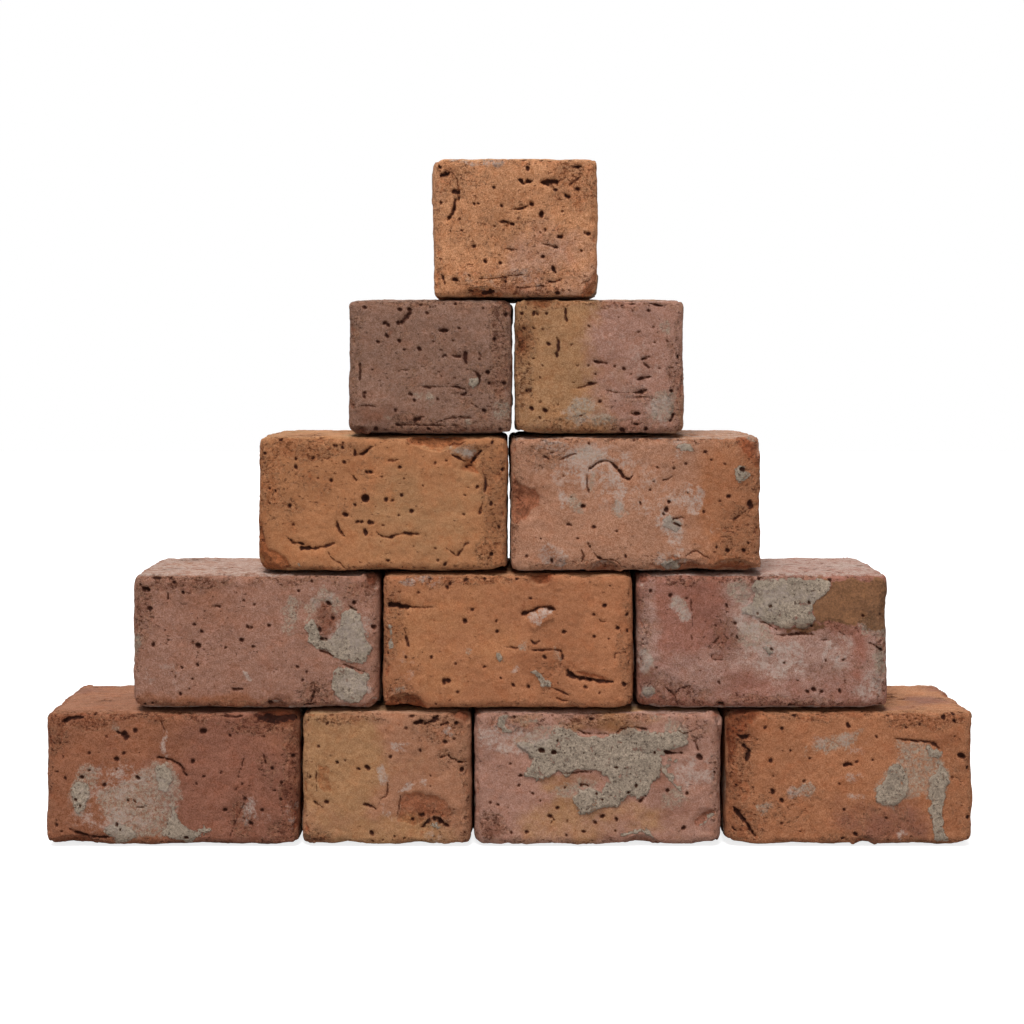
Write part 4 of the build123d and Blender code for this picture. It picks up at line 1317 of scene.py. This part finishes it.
def edge_wear(w, given):
    """Crumbling places, redder and with ragged pale rims, and dark specks on worn ones, partly
    painted shade in small pits and cavities.
    """
    ragged = w.math("MULTIPLY_ADD", w.cloud(95, 6, 0.8), 3.0, -1.5)
    within = w.math("ADD", given["Crumbly"], ragged)
    crumbly = w.span(within, 0.62, 0.78)
    rim = w.math("MULTIPLY", w.span(within, 0.60, 0.68), w.span(within, 0.72, 0.92, 1.0, 0.0))
    patches = w.span(w.cloud(75, 4, 0.7), 0.40, 0.60, 0.1, 0.7)
    rubbed = w.math("MULTIPLY", given["Edge"], patches)
    worn = w.math("MAXIMUM", w.math("MULTIPLY", given["Crumbly"], 0.8), rubbed)
    grains = w.cloud(430, 4, 0.85)
    redder = w.times(given["Color"], CRUMBLED)
    redder = w.speckled(redder, w.cloud(230, 5, 0.8), 0.40, 0.60)
    clay = w.mix(w.math("MULTIPLY", crumbly, 0.75), given["Color"], redder)
    crumbs = w.times(given["Color"], LOOSE_GRAIN)
    crumbs = w.tone(w.mix(0.3, crumbs, given["Crumbs"]), grains, 0.85, 1.3)
    pale = w.math("MULTIPLY", w.span(grains, 0.50, 0.58), w.math("MAXIMUM", crumbly, rubbed))
    clay = w.mix(w.math("MULTIPLY", pale, 0.5), clay, crumbs)
    clay = w.mix(w.math("MULTIPLY", rim, w.span(grains, 0.40, 0.50, 0.25, 0.85)), clay, crumbs)
    hollows = w.math("MULTIPLY", w.span(w.cloud(240, 5, 0.75), 0.57, 0.61), crumbly)
    clusters = w.math("MULTIPLY_ADD", w.cloud(48, 4, 0.7), 0.26, 0.54)
    level = w.math("MULTIPLY_ADD", worn, -0.14, clusters)
    over = w.math("SUBTRACT", w.cloud(340, 4, 0.75, w.stretched((0.7, 1, 1.3))), level)
    small = w.math("MULTIPLY", scattered_pits(w, worn, 260, 0.64), 0.7)
    pits = w.math("MAXIMUM", scattered_pits(w, worn, 130, 0.76), small)
    speck = w.math("MAXIMUM", w.span(over, 0.0, 0.03), pits)
    speck = w.math("MAXIMUM", speck, w.math("MULTIPLY", hollows, 0.85))
    # Partly painted shade: this dark colour fills the small pits and the crumbly cavities as well
    # as the specks
    dark = w.times(given["Color"], SPECK_AND_PIT_SHADE)
    clay = w.mix(w.math("MULTIPLY", speck, 0.85), clay, dark)
    rough = w.math("MULTIPLY", w.math("SUBTRACT", grains, 0.5), worn)
    height = w.math("MULTIPLY_ADD", rough, 2.4, given["Height"])
    height = w.math("MULTIPLY_ADD", crumbly, -0.5, height)
    return {"Color": clay, "Height": w.math("MULTIPLY_ADD", speck, -0.7, height)}


def scattered_pits(w, worn, cells, least):
    """Small pits, so many cells to the metre, in more of the cells where the face is worn."""
    distance, chance = w.grains(cells, w.stretched((0.7, 1, 1.25)))
    ragged = w.math("MULTIPLY_ADD", w.cloud(900, 2, 0.6), 0.14, -0.07)
    level = w.math("MULTIPLY_ADD", worn, -0.30, least)
    radius = w.math("MULTIPLY", w.math("SUBTRACT", chance, level), 0.42)
    inside = w.math("SUBTRACT", w.math("ADD", radius, ragged), distance)
    return w.span(inside, -0.02, 0.03)


def broken_clay(w, given):
    """Chips and spalls, where the darker, rougher inside of the brick shows."""
    ragged = w.math("MULTIPLY_ADD", w.cloud(260, 5, 0.75), 3.0, -1.5)
    share = w.span(w.math("ADD", given["Scar"], ragged), -0.1, 1.2)
    inside = w.times(given["Color"], BROKEN)
    facets = w.cloud(170, 5, 0.75)
    inside = w.tone(inside, facets, 0.70, 1.26)
    inside = w.tone(inside, w.cloud(480, 4, 0.8), 0.72, 1.26)
    rough = w.math("MULTIPLY", w.math("SUBTRACT", facets, 0.5), share)
    height = w.math("MULTIPLY_ADD", rough, 2.8, given["Height"])
    return {"Color": w.mix(share, given["Color"], inside), "Height": height}


def old_mortar(w, given):
    """Crusts of sandy mortar with ragged pale rims, and thin films of it. The pale rims are partly
    painted highlight on the crusts' raised edges, and the small dark holes in them are painted
    shade.
    """
    ragged = w.math("MULTIPLY_ADD", w.cloud(130, 6, 0.8), 13.0, -6.5)
    within = w.math("ADD", given["Crust"], ragged)
    crust = w.span(within, -0.2, 0.6)
    rim = w.math("MULTIPLY", crust, w.span(within, 0.6, 2.2, 1.0, 0.0))
    bare = w.span(w.cloud(110, 6, 0.8), 0.37, 0.42, 0.15, 1.0)
    crust = w.math("MULTIPLY", crust, bare)
    wide = w.math("MULTIPLY_ADD", w.cloud(80, 5, 0.75), 20.0, -10.0)
    film = w.span(w.math("ADD", given["Smear"], wide), -1.5, 2.5)
    thin = w.span(w.cloud(330, 5, 0.85), 0.42, 0.58, 0.15, 0.85)
    film = w.math("MULTIPLY", film, thin)
    share = w.math("MAXIMUM", crust, film)
    sand = w.cloud(640, 4, 0.9)
    mortar = w.tone(given["Mortar"], sand, 0.40, 1.66)
    mortar = w.tone(mortar, w.cloud(60, 5, 0.7), 0.82, 1.16)
    # Partly painted highlight: a pale band just inside each crust's edge
    pale = w.times(given["Mortar"], MORTAR_RIM_AND_HIGHLIGHT)
    mortar = w.mix(w.math("MULTIPLY", rim, 0.7), mortar, pale)
    # Painted shade: small dark holes in the mortar
    hole = w.span(w.cloud(400, 4, 0.75), 0.58, 0.63)
    mortar = w.mix(w.math("MULTIPLY", hole, 0.75), mortar, fired(74, 52, 39))
    rough = w.math("MULTIPLY", w.math("SUBTRACT", sand, 0.5), share)
    height = w.math("MULTIPLY_ADD", rough, 1.4, given["Height"])
    height = w.math("MULTIPLY_ADD", crust, 0.9, height)
    height = w.math("MULTIPLY_ADD", w.math("MULTIPLY", hole, crust), -0.6, height)
    return {"Color": w.mix(share, given["Color"], mortar), "Height": height}


def films_and_stains(w, given):
    """White bloom, brown soil, and darker patches, partly painted shade under the bricks above and
    beside crusts.
    """
    streaky = w.math("MULTIPLY_ADD", w.cloud(105, 6, 0.8), 4.4, -2.2)
    bloom = w.span(w.math("ADD", given["Bloom"], streaky), 0.25, 0.75)
    bloom = w.math("MULTIPLY", bloom, w.span(given["Bloom"], 0.0, 0.5))
    thin = w.span(w.cloud(400, 5, 0.85), 0.42, 0.58, 0.2, 0.8)
    clay = w.mix(w.math("MULTIPLY", bloom, thin), given["Color"], given["Lime film"])
    edge = w.math("MULTIPLY_ADD", w.cloud(200, 5, 0.75), 0.7, -0.35)
    soil = w.span(w.math("ADD", given["Soil"], edge), 0.42, 0.55)
    earth = w.tone(given["Soil film"], w.cloud(520, 4, 0.9), 0.40, 1.60)
    earth = w.tone(earth, w.cloud(60, 5, 0.7), 0.80, 1.20)
    clay = w.mix(w.math("MULTIPLY", soil, 0.9), clay, earth)
    # Partly painted shade: these darker patches stand in part for shade under the bricks above and
    # beside crusts
    darker = w.times(clay, SCORCHED_AND_SHADED)
    uneven = w.math("MULTIPLY_ADD", w.cloud(120, 5, 0.75), 1.6, 0.2)
    scorch_and_shade = w.math("MULTIPLY", given["Scorch_and_shade"], uneven, clamp=True)
    return {"Color": w.mix(scorch_and_shade, clay, darker)}


def pits_and_cracks(w, given):
    """Painted shade in the insides of pits, slits and cracks, with a painted shadow round their
    rims.
    """
    ragged = w.math("MULTIPLY_ADD", w.cloud(800, 3, 0.7), 1.2, -0.6)
    inside = w.math("ADD", given["Pit"], ragged)
    rim = w.span(inside, -0.30, 0.10)
    # Painted shade: a darker rim round each pit and cut, and the shade colour inside them
    burnt = w.times(given["Color"], PIT_RIM_SHADOW)
    clay = w.mix(w.math("MULTIPLY", rim, 0.85), given["Color"], burnt)
    clay = w.mix(w.span(inside, 0.0, 0.7, 0.0, 0.95), clay, given["Hollow"])
    return {"Color": clay, "Height": w.math("MULTIPLY_ADD", rim, -0.6, given["Height"])}


GROUPS = [
    ("Bed streaks", bed_streaks, ["Bed"], [], COLOUR_AND_HEIGHT),
    ("Broken clay", broken_clay, ["Scar"], [], COLOUR_AND_HEIGHT),
    ("Edge wear", edge_wear, ["Edge", "Crumbly"], ["Crumbs"], COLOUR_AND_HEIGHT),
    ("Old mortar", old_mortar, ["Crust", "Smear"], ["Mortar"], COLOUR_AND_HEIGHT),
    ("Films and stains", films_and_stains, ["Bloom", "Soil", "Scorch_and_shade"],
     ["Lime film", "Soil film"], {"Color": "colour"}),
    ("Pits and cracks", pits_and_cracks, ["Pit"], ["Hollow"], COLOUR_AND_HEIGHT),
]


def clay_material(node, settings):
    """Fired clay for one brick, with everything that has happened to it since."""
    brick, colours = BRICKS[node], settings.colours
    shared = {"Lime film": colours.lime, "Soil film": colours.soil, "Mortar": colours.mortar,
              "Hollow": colours.hollow, "Crumbs": colours.crumbs}
    material = bpy.data.materials.new(f"{node}_clay")
    material.use_nodes = True
    w = Wiring(material.node_tree)
    body_inputs = {"Clay": "colour", "Second clay": "colour", "Second share": "number",
                   "Grain": "number"}
    body = shader_group("Clay body", body_inputs, COLOUR_AND_HEIGHT, clay_body)
    layer = w.node("ShaderNodeGroup", {}, node_tree=body)
    w.feed(layer.inputs["Clay"], tuple(getattr(colours, brick.clay)))
    w.feed(layer.inputs["Second clay"], tuple(getattr(colours, brick.second)))
    w.feed(layer.inputs["Second share"], w.mark("second"))
    w.feed(layer.inputs["Grain"], brick.grain)
    result = {"Color": layer.outputs["Color"], "Height": layer.outputs["Height"]}
    for title, build, marks, paints, outputs in GROUPS:
        kinds = dict(outputs)
        kinds.update({name: "number" for name in marks})
        kinds.update({name: "colour" for name in paints})
        group = shader_group(title, kinds, outputs, build)
        layer = w.node("ShaderNodeGroup", {}, node_tree=group)
        for name in outputs:
            w.feed(layer.inputs[name], result[name])
        for name in marks:
            w.feed(layer.inputs[name], w.mark(name.lower()))
        for name in paints:
            w.feed(layer.inputs[name], tuple(shared[name]))
        result.update({name: layer.outputs[name] for name in outputs})
    surface = material.node_tree.nodes["Principled BSDF"]
    bump = w.node("ShaderNodeBump", {"Height": result["Height"], "Distance": MM})
    w.feed(surface.inputs["Base Color"], result["Color"])
    w.feed(surface.inputs["Normal"], bump.outputs[0])
    w.feed(surface.inputs["Roughness"], w.span(w.cloud(240, 3), 0.3, 0.7, 0.82, 0.96))
    surface.inputs["Specular IOR Level"].default_value = 0.25
    return material


# ---------------------------------------------------------------------------------------
# Operators
# ---------------------------------------------------------------------------------------


class StackSettings(PropertyGroup):
    """All the settings of the brick stack."""

    relief: PointerProperty(type=ReliefSettings, name="Relief")
    colours: PointerProperty(type=ColourSettings, name="Colours")
    stage: PointerProperty(type=StageSettings, name="Stage")


def lay_course(number, context):
    """Models each brick of a course in place of its solid."""
    settings = context.scene.brick_stack
    nodes = [node for node in BRICKS if node.startswith(f"course_{number}_")]
    if not nodes:
        raise RuntimeError(f"no brick is listed for course {number}")
    for node in nodes:
        piece = model_brick(node, settings)
        piece.data.materials.append(clay_material(node, settings))
        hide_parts(node)
        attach(piece, "root")


class BRICKS_OT_course_1(Operator):
    """Lay the bottom course: three stretchers and a header"""

    bl_idname = "bricks.course_1"
    bl_label = "Bottom Course"

    def execute(self, context):
        lay_course(1, context)
        return {"FINISHED"}


class BRICKS_OT_course_2(Operator):
    """Lay the second course: three stretchers"""

    bl_idname = "bricks.course_2"
    bl_label = "Second Course"

    def execute(self, context):
        lay_course(2, context)
        return {"FINISHED"}


class BRICKS_OT_course_3(Operator):
    """Lay the third course: two stretchers"""

    bl_idname = "bricks.course_3"
    bl_label = "Third Course"

    def execute(self, context):
        lay_course(3, context)
        return {"FINISHED"}


class BRICKS_OT_course_4(Operator):
    """Lay the fourth course: two headers"""

    bl_idname = "bricks.course_4"
    bl_label = "Fourth Course"

    def execute(self, context):
        lay_course(4, context)
        return {"FINISHED"}


class BRICKS_OT_course_5(Operator):
    """Lay the single header on top"""

    bl_idname = "bricks.course_5"
    bl_label = "Top Brick"

    def execute(self, context):
        lay_course(5, context)
        return {"FINISHED"}


class BRICKS_OT_stage(Operator):
    """Set up the floor, the soft light and the camera"""

    bl_idname = "bricks.stage"
    bl_label = "Stage"

    def execute(self, context):
        settings = context.scene.brick_stack
        context.scene.view_settings.view_transform = "Standard"
        self.lay_floor(settings)
        self.light_sky(context, settings.stage)
        self.hang_lights(settings.stage)
        self.place_camera(context, settings.stage)
        return {"FINISHED"}

    def lay_floor(self, settings):
        """A wide, matt floor that shows white, with a faint shadow at the stack's foot."""
        made = bmesh.new()
        bmesh.ops.create_grid(made, x_segments=1, y_segments=1, size=FLOOR_REACH)
        mesh = bpy.data.meshes.new("stage_floor")
        made.to_mesh(mesh)
        made.free()
        floor = bpy.data.objects.new("stage_floor", mesh)
        bpy.context.scene.collection.objects.link(floor)
        material = bpy.data.materials.new("stage_floor")
        material.use_nodes = True
        w = Wiring(material.node_tree)
        surface = material.node_tree.nodes["Principled BSDF"]
        surface.inputs["Base Color"].default_value = (*settings.colours.floor, 1)
        surface.inputs["Roughness"].default_value = 0.9
        surface.inputs["Specular IOR Level"].default_value = 0.1
        surface.inputs["Emission Color"].default_value = (1, 1, 1, 1)
        seen = w.node("ShaderNodeLightPath", {}).outputs["Is Camera Ray"]
        glow = w.math("MULTIPLY", seen, settings.stage.glow)
        w.feed(surface.inputs["Emission Strength"], glow)
        mesh.materials.append(material)

    def light_sky(self, context, stage):
        """A white surround that shows pure white and lights the stack evenly."""
        world = bpy.data.worlds.new("white_surround")
        context.scene.world = world
        world.use_nodes = True
        w = Wiring(world.node_tree)
        backdrop = world.node_tree.nodes["Background"]
        seen = w.node("ShaderNodeLightPath", {}).outputs["Is Camera Ray"]
        backdrop.inputs["Color"].default_value = (1, 1, 1, 1)
        strength = w.span(seen, 0, 1, stage.sky, 1.0, smooth=False)
        w.feed(backdrop.inputs["Strength"], strength)

    def hang_lights(self, stage):
        """Three soft suns: above and in front, low in front, and behind."""
        suns = [("top_light", stage.key, 24, 25, -14), ("front_light", stage.front, 60, 78, 14),
                ("back_light", stage.back, 60, 55, 195)]
        for name, strength, softness, lean, turn in suns:
            lamp = bpy.data.lights.new(name, "SUN")
            lamp.energy = strength
            lamp.angle = math.radians(softness)
            light = bpy.data.objects.new(name, lamp)
            light.rotation_euler = Euler((math.radians(lean), 0, math.radians(turn)))
            bpy.context.scene.collection.objects.link(light)

    def place_camera(self, context, stage):
        """A level camera square to the stack's front."""
        lens = bpy.data.cameras.new("camera")
        lens.lens = stage.lens
        lens.shift_y = stage.drop
        lens.clip_end = 50
        camera = bpy.data.objects.new("camera", lens)
        away = STACK_LOW.y - stage.camera_distance
        camera.location = (stage.camera_aside, away, stage.camera_height)
        camera.rotation_euler = (math.radians(90), 0, 0)
        context.scene.collection.objects.link(camera)
        context.scene.camera = camera


class BRICKS_PT_stack(Panel):
    """The steps and settings of the brick stack"""

    bl_idname = "BRICKS_PT_stack"
    bl_label = "Brick Stack"
    bl_space_type = "VIEW_3D"
    bl_region_type = "UI"
    bl_category = "Bricks"

    def draw(self, context):
        settings = context.scene.brick_stack
        for step in STEPS:
            self.layout.operator(step.bl_idname)
        for group in (settings.relief, settings.colours, settings.stage):
            box = self.layout.box()
            for name in group.__annotations__:
                box.prop(group, name)


STEPS = (
    BRICKS_OT_course_1,
    BRICKS_OT_course_2,
    BRICKS_OT_course_3,
    BRICKS_OT_course_4,
    BRICKS_OT_course_5,
    BRICKS_OT_stage,
)
CLASSES = (ReliefSettings, ColourSettings, StageSettings, StackSettings, *STEPS, BRICKS_PT_stack)


def register():
    """Makes the settings, operators and panel known to Blender."""
    for item in CLASSES:
        bpy.utils.register_class(item)
    bpy.types.Scene.brick_stack = PointerProperty(type=StackSettings)


def unregister():
    """Takes them away again."""
    del bpy.types.Scene.brick_stack
    for item in reversed(CLASSES):
        bpy.utils.unregister_class(item)


def main():
    """Builds the stack and its stage."""
    register()
    for step in STEPS:
        space, name = step.bl_idname.split(".")
        getattr(getattr(bpy.ops, space), name)()


if __name__ == "__main__":
    main()
